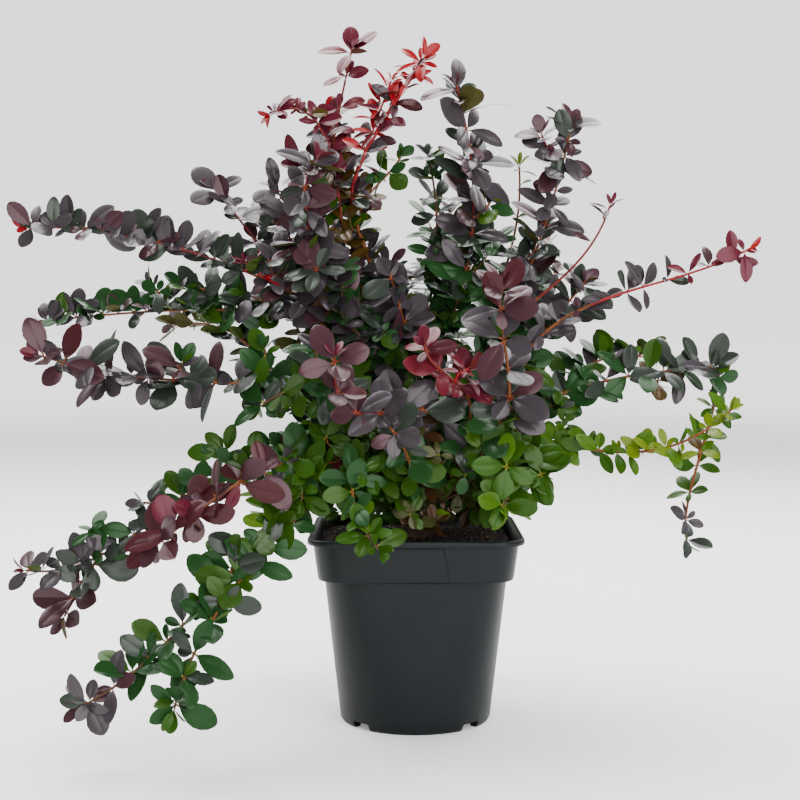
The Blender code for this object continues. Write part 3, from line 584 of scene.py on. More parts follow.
boughs = plan_boughs()
shoots = plan_shoots(boughs)
side_shoots = plan_side_shoots(shoots)
print("boughs:", len(boughs), "shoots:", len(shoots), "side shoots:", len(side_shoots))

# %% [markdown]
# Stems, twigs and boughs are all round limbs that follow a path. Geometry Nodes sweep a circle
# along each path, take its thickness from a named attribute, and push the skin in and out with
# noise that is stretched along the limb, which gives old wood its ridged bark.

# %% Node trees: sockets and links in a few words
def new_tree(name, inputs):
    """An empty Geometry Nodes tree with named inputs; returns its nodes, a linker and its ends."""
    tree = bpy.data.node_groups.new(name, "GeometryNodeTree")
    tree.interface.new_socket("Geometry", in_out="INPUT", socket_type="NodeSocketGeometry")
    for label, kind in inputs:
        tree.interface.new_socket(label, in_out="INPUT", socket_type="NodeSocket" + kind)
    tree.interface.new_socket("Geometry", in_out="OUTPUT", socket_type="NodeSocketGeometry")
    return tree, tree.nodes.new("NodeGroupInput"), tree.nodes.new("NodeGroupOutput")


def add_node(tree, kind, links=None, **settings):
    """A node with its settings, and with its inputs linked or set by name."""
    node = tree.nodes.new(kind)
    for setting, value in settings.items():
        setattr(node, setting, value)
    for socket, source in (links or {}).items():
        target = node.inputs[socket]
        if isinstance(source, bpy.types.NodeSocket):
            tree.links.new(source, target)
        else:
            target.default_value = source
    return node


def named(tree, name, kind):
    """The value of an attribute that the points carry."""
    node = add_node(tree, "GeometryNodeInputNamedAttribute", {"Name": name}, data_type=kind)
    return node.outputs["Attribute"]


def run_tree(source, tree, values, name):
    """Runs a tree on an object, and keeps its result as a plain mesh in a new object."""
    modifier = source.modifiers.new("grow", "NODES")
    modifier.node_group = tree
    for item in tree.interface.items_tree:
        if item.in_out == "INPUT" and item.name in values:
            modifier[item.identifier] = values[item.name]
    graph = bpy.context.evaluated_depsgraph_get()
    mesh = bpy.data.meshes.new_from_object(source.evaluated_get(graph))
    mesh.name = name
    bpy.data.objects.remove(source, do_unlink=True)
    piece = bpy.data.objects.new(name, mesh)
    bpy.context.scene.collection.objects.link(piece)
    return piece


def hand_over(piece, nodes):
    """Attaches a finished piece to the root body and hides the frame nodes that it stands for."""
    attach(piece, "root")
    if nodes:
        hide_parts(*nodes)
    piece.data.calc_loop_triangles()
    print(piece.name, "triangles:", len(piece.data.loop_triangles))


# %% The tree that sweeps limbs
limb_tree, limb_in, limb_out = new_tree("sweep_limbs", (
    ("Sides", "Int"), ("Ridge Height", "Float"), ("Bark", "Material")))
path_curves = add_node(limb_tree, "GeometryNodeMeshToCurve", {"Mesh": limb_in.outputs["Geometry"]})
ring = add_node(limb_tree, "GeometryNodeCurvePrimitiveCircle",
                {"Resolution": limb_in.outputs["Sides"], "Radius": 1.0})
tube = add_node(limb_tree, "GeometryNodeCurveToMesh",
                {"Curve": path_curves.outputs["Curve"], "Profile Curve": ring.outputs["Curve"],
                 "Scale": named(limb_tree, "thick", "FLOAT"), "Fill Caps": True})
bark_noise = add_node(limb_tree, "ShaderNodeTexNoise", {"Scale": 420.0, "Detail": 3.0})
centred = add_node(limb_tree, "ShaderNodeMath", {0: bark_noise.outputs["Fac"], 1: 0.5},
                   operation="SUBTRACT")
height = add_node(limb_tree, "ShaderNodeMath",
                  {0: centred.outputs[0], 1: limb_in.outputs["Ridge Height"]},
                  operation="MULTIPLY")
outward = add_node(limb_tree, "GeometryNodeInputNormal")
push = add_node(limb_tree, "ShaderNodeVectorMath", {0: outward.outputs["Normal"]},
                operation="SCALE")
limb_tree.links.new(height.outputs[0], push.inputs["Scale"])
pushed = add_node(limb_tree, "GeometryNodeSetPosition",
                  {"Geometry": tube.outputs["Mesh"], "Offset": push.outputs["Vector"]})
rounded = add_node(limb_tree, "GeometryNodeSetShadeSmooth", {"Geometry": pushed.outputs["Geometry"]})
limb_real = add_node(limb_tree, "GeometryNodeRealizeInstances",
                     {"Geometry": rounded.outputs["Geometry"]})
limb_dressed = add_node(limb_tree, "GeometryNodeSetMaterial",
                        {"Geometry": limb_real.outputs["Geometry"],
                         "Material": limb_in.outputs["Bark"]})
limb_tree.links.new(limb_dressed.outputs["Geometry"], limb_out.inputs["Geometry"])


def sweep_limbs(name, limbs, sides, ridge, finish, nodes):
    """One piece from many paths, each with a thickness at every point."""
    points, edges, thick = [], [], []
    for path, radii in limbs:
        first = len(points)
        points.extend(point * MM for point in path)
        thick.extend(radius * MM for radius in radii)
        edges.extend((first + index, first + index + 1) for index in range(len(path) - 1))
    mesh = bpy.data.meshes.new(name)
    mesh.from_pydata(points, edges, [])
    mesh.attributes.new("thick", "FLOAT", "POINT").data.foreach_set("value", thick)
    source = bpy.data.objects.new(name + "_paths", mesh)
    bpy.context.scene.collection.objects.link(source)
    values = {"Sides": sides, "Ridge Height": ridge * MM, "Bark": finish}
    hand_over(run_tree(source, limb_tree, values, name), nodes)


# %% Boughs
def taper(count, first, last):
    return [first + (last - first) * index / (count - 1) for index in range(count)]


bough_limbs = []
for bough in boughs.values():
    whole = [CROWN_HEART.lerp(bough["path"][0], share / 8) for share in range(8)] + bough["path"]
    fine = [a.lerp(b, share) for a, b in zip(whole, whole[1:]) for share in (0.0, 0.5)]
    bough_limbs.append((fine, taper(len(fine), BOUGH_ROOT_RADIUS, BOUGH_TIP_RADIUS * 0.8)))
sweep_limbs("boughs", bough_limbs, 14, 0.9, bark_finish,
            ["bough_" + name for name in boughs])

# %% [markdown]
# The woody foot flares from its waist to a flat cut at the soil. It is turned from a few rings,
# whose radius waves round the stem like the flutes between old roots.

# %% Woody foot
FOOT_RINGS = ((15.0, 133.8), (13.6, 134.6), (11.7, 136.4), (10.4, 138.8), (9.4, 142.0),
              (8.8, 147.0), (8.2, 151.5), (6.6, 155.0), (3.0, 157.0))
FOOT_SIDES = 48


def make_woody_foot():
    points, faces = [], []
    for row, (radius, z) in enumerate(FOOT_RINGS):
        for side in range(FOOT_SIDES):
            turn = 2 * math.pi * side / FOOT_SIDES
            flute = 0.08 * math.sin(5 * turn + 0.3 * row) + 0.04 * math.sin(13 * turn + row)
            out = radius * (1.0 + flute)
            points.append((out * math.cos(turn) * MM, out * math.sin(turn) * MM, z * MM))
    for row in range(len(FOOT_RINGS) - 1):
        for side in range(FOOT_SIDES):
            after = (side + 1) % FOOT_SIDES
            low, high = row * FOOT_SIDES, (row + 1) * FOOT_SIDES
            faces.append((low + side, low + after, high + after, high + side))
    faces.append(tuple(reversed(range(FOOT_SIDES))))
    faces.append(tuple(range(len(points) - FOOT_SIDES, len(points))))
    mesh = bpy.data.meshes.new("woody_foot")
    mesh.from_pydata(points, [], faces)
    mesh.materials.append(bark_finish)
    mesh.shade_smooth()
    piece = bpy.data.objects.new("woody_foot", mesh)
    bpy.context.scene.collection.objects.link(piece)
    hand_over(piece, ["root_crown"])


make_woody_foot()

# %% [markdown]
# A barberry leaf is a small spoon: a short stalk, a wedge that widens past the middle and a round
# tip, folded a little along its midrib. One leaf is modelled as a thin closed shell of a few dozen
# faces, with a crisp rim and a crease at the midrib. Six such shapes are enough, since each is set at
# its own size and turn. Each leaf carries a UV map along and across its blade for the veins.

# %% Leaf shapes
# Places along the leaf and the half width there, as a share of the widest
LEAF_OUTLINE = ((0.0, 0.06), (0.11, 0.09), (0.24, 0.48), (0.40, 0.84), (0.57, 1.0), (0.74, 0.93),
                (0.88, 0.66), (0.965, 0.33))
LEAF_THICK = 0.02
STALK_ROWS = 1
# Half width, how far the halves fold up and how far they arch, the blade's bow and its twist
LEAF_KINDS = {
    "leaf_0_broad": (0.28, 0.24, 0.8, 0.24, 0.00),
    "leaf_1_round": (0.325, 0.16, 0.6, 0.16, 0.06),
    "leaf_2_cupped": (0.27, 0.42, 0.0, -0.16, -0.05),
    "leaf_3_long": (0.225, 0.26, 0.7, 0.34, 0.08),
    "leaf_4_young": (0.24, 0.36, 0.2, 0.20, 0.05),
    "leaf_5_narrow": (0.14, 0.40, 0.0, 0.24, 0.10),
}
BROAD, ROUND, CUPPED, LONG, YOUNG, NARROW = range(len(LEAF_KINDS))


def make_leaf(name, half, fold, arch, bow, twist):
    """A closed leaf one unit long along +X, with its upper side towards +Z."""
    points, rims, tops, ribs = [], [], [], []

    def add(along, out, lift):
        up = fold * abs(out) - arch * out * out - bow * along * along + 3 * twist * out * along
        points.append((along, out, up + lift))
        return len(points) - 1

    for along, share in LEAF_OUTLINE:
        edge = share * half
        rims.append((add(along, -edge, 0.0), add(along, edge, 0.0)))
        tops.append([add(along, out * edge, LEAF_THICK / 2) for out in (-0.5, 0.0, 0.5)])
        ribs.append(add(along, 0.0, -LEAF_THICK / 2))
    tip = add(1.0, 0.0, 0.0)
    upper = [[left, *row, right] for (left, right), row in zip(rims, tops)]
    lower = [[right, rib, left] for (left, right), rib in zip(rims, ribs)]
    faces, under, stalk = [], [], []
    for rows, is_under in ((upper, False), (lower, True)):
        for row, near in enumerate(rows):
            ends = [(near[k], tip, near[k + 1]) for k in range(len(near) - 1)]
            if row + 1 < len(rows):
                far = rows[row + 1]
                ends = [(near[k], far[k], far[k + 1], near[k + 1]) for k in range(len(near) - 1)]
            faces += ends
            under += [is_under] * len(ends)
            stalk += [row < STALK_ROWS] * len(ends)
    faces.append((*upper[0], ribs[0]))
    mesh = bpy.data.meshes.new(name)
    mesh.from_pydata(points, [], faces)
    mesh.attributes.new("under", "BOOLEAN", "FACE").data.foreach_set("value", under + [False])
    mesh.attributes.new("stalk", "BOOLEAN", "FACE").data.foreach_set("value", stalk + [True])
    mesh.shade_smooth()
    lines = [{row[1] for row in tops}, set(ribs), {left for left, _ in rims} | {tip},
             {right for _, right in rims} | {tip}]
    creases = [any(set(edge.vertices) <= line for line in lines) for edge in mesh.edges]
    mesh.attributes.new("sharp_edge", "BOOLEAN", "EDGE").data.foreach_set("value", creases)
    spread = mesh.uv_layers.new(name="UVMap")
    for loop, spot in zip(mesh.loops, spread.uv):
        place = mesh.vertices[loop.vertex_index].co
        spot.vector = (place.x, 0.5 + place.y)
    return bpy.data.objects.new(name, mesh)


leaf_shapes = bpy.data.collections.new("leaf_shapes")
for name, kind in LEAF_KINDS.items():
    leaf_shapes.objects.link(make_leaf(name, *kind))

# %% The tree that sets leaves on their points
leaf_tree, leaf_in, leaf_out = new_tree("set_leaves", (
    ("Shapes", "Collection"), ("Top", "Material"), ("Underside", "Material"),
    ("Stalk", "Material")))
shapes = add_node(leaf_tree, "GeometryNodeCollectionInfo",
                  {"Collection": leaf_in.outputs["Shapes"], "Separate Children": True,
                   "Reset Children": True})
spots = add_node(leaf_tree, "GeometryNodeMeshToPoints", {"Mesh": leaf_in.outputs["Geometry"]})
set_leaves = add_node(leaf_tree, "GeometryNodeInstanceOnPoints",
                      {"Points": spots.outputs["Points"], "Instance": shapes.outputs["Instances"],
                       "Pick Instance": True, "Instance Index": named(leaf_tree, "shape", "INT"),
                       "Rotation": named(leaf_tree, "turn", "FLOAT_VECTOR"),
                       "Scale": named(leaf_tree, "long", "FLOAT")})
leaf_real = add_node(leaf_tree, "GeometryNodeRealizeInstances",
                     {"Geometry": set_leaves.outputs["Instances"]})
top_set = add_node(leaf_tree, "GeometryNodeSetMaterial",
                   {"Geometry": leaf_real.outputs["Geometry"], "Material": leaf_in.outputs["Top"]})
under_set = add_node(leaf_tree, "GeometryNodeSetMaterial",
                     {"Geometry": top_set.outputs["Geometry"],
                      "Selection": named(leaf_tree, "under", "BOOLEAN"),
                      "Material": leaf_in.outputs["Underside"]})
stalk_set = add_node(leaf_tree, "GeometryNodeSetMaterial",
                     {"Geometry": under_set.outputs["Geometry"],
                      "Selection": named(leaf_tree, "stalk", "BOOLEAN"),
                      "Material": leaf_in.outputs["Stalk"]})
leaf_tree.links.new(stalk_set.outputs["Geometry"], leaf_out.inputs["Geometry"])

# %% [markdown]
# Barberry leaves stand in small rosettes: at each node a bud on one side of the stem opens three
# to five leaves, which spread like a star with their upper sides to the light. Short side twigs
# repeat the stem in small, and each shoot ends in a cluster of small new leaves.

# %% Growing rules
MATURE = (BROAD, BROAD, BROAD, ROUND, CUPPED, LONG)
SLIM = (BROAD, LONG, LONG, CUPPED)
FRESH = (YOUNG, BROAD, YOUNG)
SPIKY = (NARROW, YOUNG, NARROW)
# Node spacing, leaves at a node, how often a node also carries a side twig, where along the shoot
# the small new growth starts, the shapes of old and new leaves, how far the leaves stand up, and
# the leaves of the last star
HABITS = {
    "wand": (11.0, (4, 4, 5), 0.12, 0.84, SLIM, FRESH, 0.15, 4),
    "sparse": (17.0, (2, 3, 3), 0.0, 0.70, SLIM, (YOUNG, NARROW, YOUNG), 0.25, 4),
    "small": (10.0, (3, 4, 4), 0.10, 0.75, SLIM, FRESH, 0.5, 4),
    "airy": (21.0, (3, 4, 5), 0.0, 0.90, SLIM, FRESH, 0.2, 5),
    "thick": (8.5, (3, 3, 4), 0.10, 0.45, SLIM, SPIKY, 0.1, 6),
    "plain": (13.0, (4, 4, 5), 0.30, 0.93, SLIM, FRESH, 0.1, 5),
    "arm": (14.0, (4, 4, 5), 0.12, 0.96, MATURE, FRESH, 0.3, 3),
    "loose": (15.5, (4, 4, 5), 0.0, 0.97, MATURE, MATURE, 0.1, 4),
    "full": (10.5, (4, 4, 5), 0.10, 0.96, MATURE, FRESH, 0.6, 3),
    "open": (19.0, (4, 4, 5), 0.0, 0.97, MATURE, MATURE, 0.15, 4),
    "bushy": (12.0, (4, 4, 5), 0.50, 0.96, MATURE, FRESH, 0.1, 4),
    "bare": (24.0, (1, 1, 2), 0.0, 0.0, SPIKY, SPIKY, 0.0, 3),
    "side": (13.0, (3, 3, 4), 0.0, 0.95, MATURE, MATURE, 0.15, 3),
}
LEAF_GROWTH = 1.1
BARE_START = 9.0
STEM_ROOT = 1.45
STEM_TIP = 0.8
THICK_STEM = 2.1
THICK_TIP = 1.5
TWIG_ROOT = 0.75
TWIG_TIP = 0.45
TWIG_STEP = 3.0
TWIG_NODES = 12.0
SPINE_LENGTH = 4.5
GOLDEN_TURN = math.radians(137.5)
RIM_HALF = 79.5
RIM_TOP = 146.0
GROUND = 3.0
LIT_FRONT, LIT_BACK = -40.0, 150.0
BASE_TWIGS = 0.7
STRAY_TINT = 0.3
SPIKY_STAR = 0.7
UP = Vector((0, 0, 1))
FRONT = Vector((0, -1, 0))
leaves = {tint: [] for tint in LEAF_TINTS}
owners = {tint: set() for tint in LEAF_TINTS}
stems = {bark: [] for bark in stem_finishes}
spines = []


def clear_of_pot(point):
    """True above the rim or outside it, and off the ground."""
    outside = max(abs(point.x), abs(point.y)) > RIM_HALF
    return (outside or point.z > RIM_TOP) and point.z > GROUND


def side_way(forward, turn, lean, lift):
    """A direction that leans away from a stem on one side, drawn up towards the light."""
    across = forward.orthogonal().normalized()
    beside = forward.cross(across)
    out = across * math.cos(turn) + beside * math.sin(turn) + UP * lift
    return (forward * math.cos(lean) + out.normalized() * math.sin(lean)).normalized()


def light_way(root, axis, dice):
    """Where a bud's leaves turn: up, out of the crown and, in its front half, to the bright side."""
    outward = Vector((root.x, root.y, 0.0)).normalized()
    ahead = min(1.0, max(0.0, (LIT_BACK - root.y) / (LIT_BACK - LIT_FRONT)))
    way = axis * 0.3 + UP * 0.5 + outward * 0.2 + FRONT * 1.1 * ahead
    wander = Vector([dice.gauss(0.0, 0.28) for _ in range(3)])
    return (way.normalized() + wander).normalized()


def put_leaf(owner, tint, root, way, face, length, shape, dice):
    """Writes down one leaf, unless it would touch the pot or the ground."""
    if not all(clear_of_pot(root + way * length * share) for share in (0.5, 0.8, 1.0)):
        return
    face = face - way * face.dot(way)
    if face.length < 0.05:
        face = way.orthogonal()
    face = Matrix.Rotation(dice.gauss(0.0, 0.22), 3, way) @ face.normalized()
    turn = Matrix((way, face.cross(way), face)).transposed().to_euler()
    leaves[tint].append((root * MM, tuple(turn), length * MM, shape))
    owners[tint].add(owner)


def pick_tint(tints, share, dice):
    """Mostly the tint of this stretch of the shoot, sometimes its neighbour's."""
    place = share * (len(tints) - 1) + dice.gauss(0.0, 0.5)
    return tints[min(len(tints) - 1, max(0, round(place)))]


def put_rosette(owner, tint, root, axis, size, count, dice, shapes=MATURE, lift=0.1):
    """A star of leaves round one bud, spread almost square to the light."""
    light = light_way(root, axis, dice)
    across = light.orthogonal().normalized()
    beside = light.cross(across)
    first = dice.uniform(0, 2 * math.pi)
    for index in range(count):
        turn = first + index * 2 * math.pi / count + dice.gauss(0, 0.2)
        lean = math.radians(dice.uniform(52, 88))
        out = across * math.cos(turn) + beside * math.sin(turn)
        way = (light * math.cos(lean) + out * math.sin(lean) + UP * lift).normalized()
        length = size * dice.choice((0.5, 0.75, 0.95, 1.05, 1.15))
        own = dice.choice(NEIGHBOURS[tint]) if dice.random() < STRAY_TINT else tint
        put_leaf(owner, own, root, way, light, length, dice.choice(shapes), dice)


def put_tip(owner, tint, under, root, forward, size, shapes, young, count, dice):
    """The cluster that ends a shoot: small new leaves, and a star of larger ones below."""
    for index in range(3):
        way = side_way(forward, index * GOLDEN_TURN, math.radians(12 + 16 * index), 0.1)
        length = size * dice.uniform(0.4, 0.7)
        put_leaf(owner, tint, root, way, forward + FRONT * 0.4, length, dice.choice(young), dice)
    star = size * SPIKY_STAR if shapes is SPIKY else size
    put_rosette(owner, under, root - forward * 3, forward, star, count, dice, shapes)


def grow_twig(owner, tints, share, root, way, size, reach, bark, dice):
    """A short side twig that bends up towards the light, with rosettes of its own."""
    end = root + way * reach + UP * reach * 0.22
    path = curve_points(root, way * reach * 0.4, UP * reach * 0.3 + way * reach * 0.2, end,
                        TWIG_STEP)
    if not all(clear_of_pot(point) for point in path[2:]):
        return
    stems[bark].append((path, taper(len(path), TWIG_ROOT, TWIG_TIP)))
    ways = directions(path)
    tint = pick_tint(tints, share, dice)
    due = dice.uniform(8, 13)
    for index in range(1, len(path) - 2):
        if index * TWIG_STEP >= due:
            due += TWIG_NODES
            axis = side_way(ways[index], due * 2.4, math.radians(60), 0.3)
            put_rosette(owner, tint, path[index], axis, size * 0.85, dice.choice((2, 3, 3)), dice)
    put_rosette(owner, tint, path[-1], ways[-1], size * 0.9, dice.choice((4, 5)), dice)


def grow_stem(shoot):
    """The shoot's own stem: old brown wood below, then russet, then the colour of young wood."""
    path = shoot["path"]
    root, tip = (THICK_STEM, THICK_TIP) if shoot["habit"] == "thick" else (STEM_ROOT, STEM_TIP)
    if shoot["habit"] == "side":
        root = TWIG_ROOT * 1.3
    radii = taper(len(path), root, tip)
    old, young = len(path) * 2 // 5, len(path) * 3 // 4
    if shoot["bark"] in ("red", "crimson"):
        old, young = len(path) // 4, len(path) // 2
    if shoot["habit"] == "side":
        old, young = 0, 0
    for bark, first, last in (("brown", 0, old), ("russet", old, young),
                              (shoot["bark"], young, len(path) - 1)):
        if last > first:
            stems[bark].append((path[first:last + 1], radii[first:last + 1]))


def grow_shoot(owner, label, shoot):
    dice = random.Random("shoot " + label)
    path, size = shoot["path"], shoot["leaf"] * LEAF_GROWTH
    *tints, tip_tint = shoot["tints"]
    spacing, counts, twigs, new_growth, old, young, lift, last = HABITS[shoot["habit"]]
    if shoot["habit"] == "side" and shoot["bark"] == "crimson":
        old = young = SPIKY
    ways = directions(path)
    grow_stem(shoot)
    turn = dice.uniform(0, 2 * math.pi)
    travelled, due = 0.0, BARE_START
    for index in range(1, len(path) - 2):
        travelled += (path[index] - path[index - 1]).length
        if travelled < due:
            continue
        due += spacing * dice.uniform(0.8, 1.2)
        share = index / (len(path) - 1)
        turn += GOLDEN_TURN
        axis = side_way(ways[index], turn, math.radians(dice.uniform(52, 76)), 0.45)
        is_young = share >= new_growth
        put_rosette(owner, pick_tint(tints, share, dice), path[index], axis,
                    size * (0.8 if is_young else 1.0), dice.choice(counts), dice,
                    young if is_young else old, lift)
        if share < 0.85:
            spines.append((path[index], side_way(ways[index], turn + 0.6, math.radians(70), 0.0)))
        base_twigs = BASE_TWIGS * max(0.0, 1.0 - share / 0.4) if twigs else 0.0
        if dice.random() < twigs + base_twigs and share < 0.8:
            way = side_way(ways[index], turn + 2.4, math.radians(dice.uniform(40, 65)), 0.6)
            bark = "russet" if share > 0.4 else "brown"
            grow_twig(owner, tints, share, path[index], way, size,
                      dice.uniform(16, 36) * (1.1 - 0.5 * share), bark, dice)
    put_tip(owner, tip_tint, tints[-1], path[-1], shoot["way"], size,
            young if young is SPIKY else old, young, last, dice)


for name, shoot in shoots.items():
    grow_shoot(name, name, shoot)
for count, (parent, shoot) in enumerate(side_shoots):
    grow_shoot(parent, f"side {count}", shoot)
print("leaves on the shoots:", sum(len(rows) for rows in leaves.values()))

# %% [markdown]
# The heart of the shrub is full of short leafy twigs that spring from the boughs. Those in the
# middle, where light no longer reaches, carry dull old leaves and some brown dead ones.

# %% Inner twigs
INNER_STEP = 7.0
HEART_X, HEART_HALF, HEART_TOP = 12.0, 30.0, 215.0
SHADED_TINTS = ["dull", "dull", "moss", "dull", "dead"]


def grow_inner_twigs(bough_name, bough):
    dice = random.Random("inner " + bough_name)
    owner = next(row[1] for row in SHOOTS if row[0] == bough_name)
    path = bough["path"]
    ways = directions(path)
    turn, due, travelled = dice.uniform(0, 2 * math.pi), 4.0, 0.0
    for index in range(1, len(path)):
        travelled += (path[index] - path[index - 1]).length
        if travelled < due:
            continue
        due += INNER_STEP * dice.uniform(0.7, 1.3)
        root = path[index]
        for _ in range(2):
            turn += GOLDEN_TURN
            way = side_way(ways[index], turn, math.radians(dice.uniform(50, 85)), 0.1)
            shaded = abs(root.x - HEART_X) < HEART_HALF and root.z < HEART_TOP
            tints = SHADED_TINTS if shaded else ["deep_green", "moss", "green"]
            grow_twig(owner, tints, dice.random(), root, way, dice.uniform(14, 19),
                      dice.uniform(16, 42), "brown", dice)


for name, bough in boughs.items():
    grow_inner_twigs(name, bough)
print("leaves:", {tint: len(rows) for tint, rows in leaves.items()},
      "in all", sum(len(rows) for rows in leaves.values()))


def set_leaf_piece(tint):
    rows = leaves[tint]
    mesh = bpy.data.meshes.new("spots_" + tint)
    mesh.from_pydata([row[0] for row in rows], [], [])
    turns = [value for row in rows for value in row[1]]
    mesh.attributes.new("turn", "FLOAT_VECTOR", "POINT").data.foreach_set("vector", turns)
    mesh.attributes.new("long", "FLOAT", "POINT").data.foreach_set("value", [r[2] for r in rows])
    mesh.attributes.new("shape", "INT", "POINT").data.foreach_set("value", [r[3] for r in rows])
    source = bpy.data.objects.new("spots_" + tint, mesh)
    bpy.context.scene.collection.objects.link(source)
    values = {"Shapes": leaf_shapes, "Top": leaf_tops[tint], "Underside": leaf_unders[tint],
              "Stalk": stalk_olive if tint in GREEN_TINTS else stalk_red}
    piece = run_tree(source, leaf_tree, values, "leaves_" + tint)
    hand_over(piece, sorted("leaves_" + owner for owner in owners[tint]))


for tint in LEAF_TINTS:
    if leaves[tint]:
        set_leaf_piece(tint)
for bark, limbs in stems.items():
    sweep_limbs("stems_" + bark, limbs, 6, 0.12, stem_finishes[bark], [])
spine_limbs = [([root, root + way * SPINE_LENGTH], [0.42, 0.06]) for root, way in spines]
sweep_limbs("spines", spine_limbs, 5, 0.0, stem_finishes["russet"], [])
for shape in list(leaf_shapes.objects):
    bpy.data.objects.remove(shape, do_unlink=True)

# %% [markdown]
# The pot is moulded in one piece: a round foot that turns into a soft square, a tapering collar
# with a sunk panel on each side, and a rolled lip. It is lofted through rings. The rings'
# columns follow the slanted edges of the panels, so the step stays crisp.

# %% Pot
RIM_WIDTH = 156.0
RIM_CORNER = 22.0
POT_HEIGHT = 144.0
WALL = 1.5
LIP_DEPTH = 4.5
COLLAR_TOP_WIDTH = 148.2
COLLAR_FOOT_WIDTH = 141.4
COLLAR_CORNER = 23.0
COLLAR_FOOT_Z = 113.0
BODY_TOP_WIDTH = 133.8
BODY_TOP_CORNER = 34.0
BODY_FOOT_RADIUS = 56.4
FLOOR_TOP_Z = 6.6
PANEL_TOP_WIDTH = 37.0
PANEL_FOOT_WIDTH = 46.0
PANEL_SINK = 1.3
PANEL_TOP_Z = 138.8
CHANNEL_HEIGHT = 5.0
PAD_RADIUS = 20.0
NOTCH_WIDTH = 17.0
NOTCH_HEIGHT = 5.4
LIP_Z = POT_HEIGHT - LIP_DEPTH
# The columns keep their angles below the collar, where the pot is narrower than this
FACE_HALF = 69.0
# Columns from the middle of a side to its corner: shares of the panel's half width, then degrees
PANEL_COLUMNS = (0.0, 0.4, 0.75, 0.97, 1.0, 1.05, 1.09, 1.12)
CORNER_COLUMNS = (22, 26, 30, 33, 35.5, 37.5, 39.5, 41.2, 43, 45)


def square_reach(turn, half_width, corner):
    """Distance from the axis to the rim of a square with rounded corners, at an angle."""
    c, s = abs(math.cos(turn)), abs(math.sin(turn))
    reach = half_width / max(c, s)
    inset = half_width - corner
    if reach * min(c, s) > inset:
        both = c + s
        reach = inset * both + math.sqrt((inset * both) ** 2 - 2 * inset ** 2 + corner ** 2)
    return reach


def panel_half(z):
    share = min(1.0, max(0.0, (z - COLLAR_FOOT_Z) / (PANEL_TOP_Z - COLLAR_FOOT_Z)))
    return (PANEL_FOOT_WIDTH + (PANEL_TOP_WIDTH - PANEL_FOOT_WIDTH) * share) / 2


def pot_ring(half_width, corner, z, sink=0.0):
    """One ring of the pot, with its panels sunk by the given depth."""
    edge = panel_half(z)
    steps = [(math.atan(share * edge / max(half_width, FACE_HALF)), share)
             for share in PANEL_COLUMNS]
    steps += [(math.radians(angle), 2.0) for angle in CORNER_COLUMNS]
    eighth = [(-turn, share) for turn, share in reversed(steps[1:-1])] + steps
    ring = []
    for quarter in range(4):
        for turn, share in eighth:
            reach = square_reach(turn, half_width, corner)
            depth = sink * min(1.0, max(0.0, (1.09 - share) / 0.09))
            whole = turn + quarter * math.pi / 2
            x, y = reach * math.cos(whole), reach * math.sin(whole)
            side_x, side_y = math.cos(quarter * math.pi / 2), math.sin(quarter * math.pi / 2)
            ring.append((x - side_x * depth, y - side_y * depth, z))
    return ring


def body_ring(z, inset=0.0):
    share = z / COLLAR_FOOT_Z
    half = BODY_FOOT_RADIUS + (BODY_TOP_WIDTH / 2 - BODY_FOOT_RADIUS) * share - inset
    return pot_ring(half, BODY_FOOT_RADIUS + (BODY_TOP_CORNER - BODY_FOOT_RADIUS) * share - inset, z)


def collar_ring(z, inset=0.0, sink=0.0):
    share = (z - COLLAR_FOOT_Z) / (LIP_Z - COLLAR_FOOT_Z)
    half = (COLLAR_FOOT_WIDTH + (COLLAR_TOP_WIDTH - COLLAR_FOOT_WIDTH) * share) / 2 - inset
    return pot_ring(half, COLLAR_CORNER - inset, z, sink)


def lip_ring(inset, z):
    return pot_ring(RIM_WIDTH / 2 - inset, RIM_CORNER - 0.6 * inset, z)


def round_ring(radius, z):
    return pot_ring(radius, radius, z)


def pot_rings():
    """Rings from the underside's middle, up the outside, over the lip and down the inside."""
    foot = BODY_FOOT_RADIUS
    rings = [round_ring(PAD_RADIUS, 0.0), round_ring(PAD_RADIUS + 1, CHANNEL_HEIGHT),
             round_ring(foot - 7.4, CHANNEL_HEIGHT), round_ring(foot - 6.4, 0.0),
             round_ring(foot - 2.4, 0.0), round_ring(foot - 1.4, 0.15),
             round_ring(foot - 0.6, 0.7), round_ring(foot - 0.1, 1.6)]
    rings += [body_ring(z) for z in (2.6, 14, 28, 42, 56, 70, 84, 97, 107, 111.2)]
    rings += [body_ring(112.4), body_ring(112.8, -0.5)]
    rings += [collar_ring(113.0, 1.4, PANEL_SINK * 0.8), collar_ring(113.1, 0.6, PANEL_SINK),
              collar_ring(113.5, 0.15, PANEL_SINK), collar_ring(114.3, 0.0, PANEL_SINK)]
    rings += [collar_ring(z, 0.0, PANEL_SINK) for z in (118, 123, 128, 133, 137.4, 138.0)]
    rings += [collar_ring(138.5, 0.0, PANEL_SINK * 0.3), collar_ring(138.9)]
    rings += [collar_ring(139.3, -0.15), lip_ring(2.6, 139.5), lip_ring(1.0, 139.6),
              lip_ring(0.35, 139.9), lip_ring(0.05, 140.5), lip_ring(0.0, 141.8),
              lip_ring(0.1, 142.8), lip_ring(0.4, 143.5), lip_ring(0.9, 143.9),
              lip_ring(1.4, POT_HEIGHT), lip_ring(2.6, POT_HEIGHT), lip_ring(3.3, 143.7),
              lip_ring(4.2, 142.6), collar_ring(138.0, WALL), collar_ring(130.0, WALL),
              collar_ring(122.0, WALL), collar_ring(115.7, WALL), body_ring(114.5, WALL)]
    rings += [body_ring(z, WALL) for z in (90, 60, 30, 10)]
    rings += [round_ring(foot - WALL - 2.4, FLOOR_TOP_Z)]
    return rings


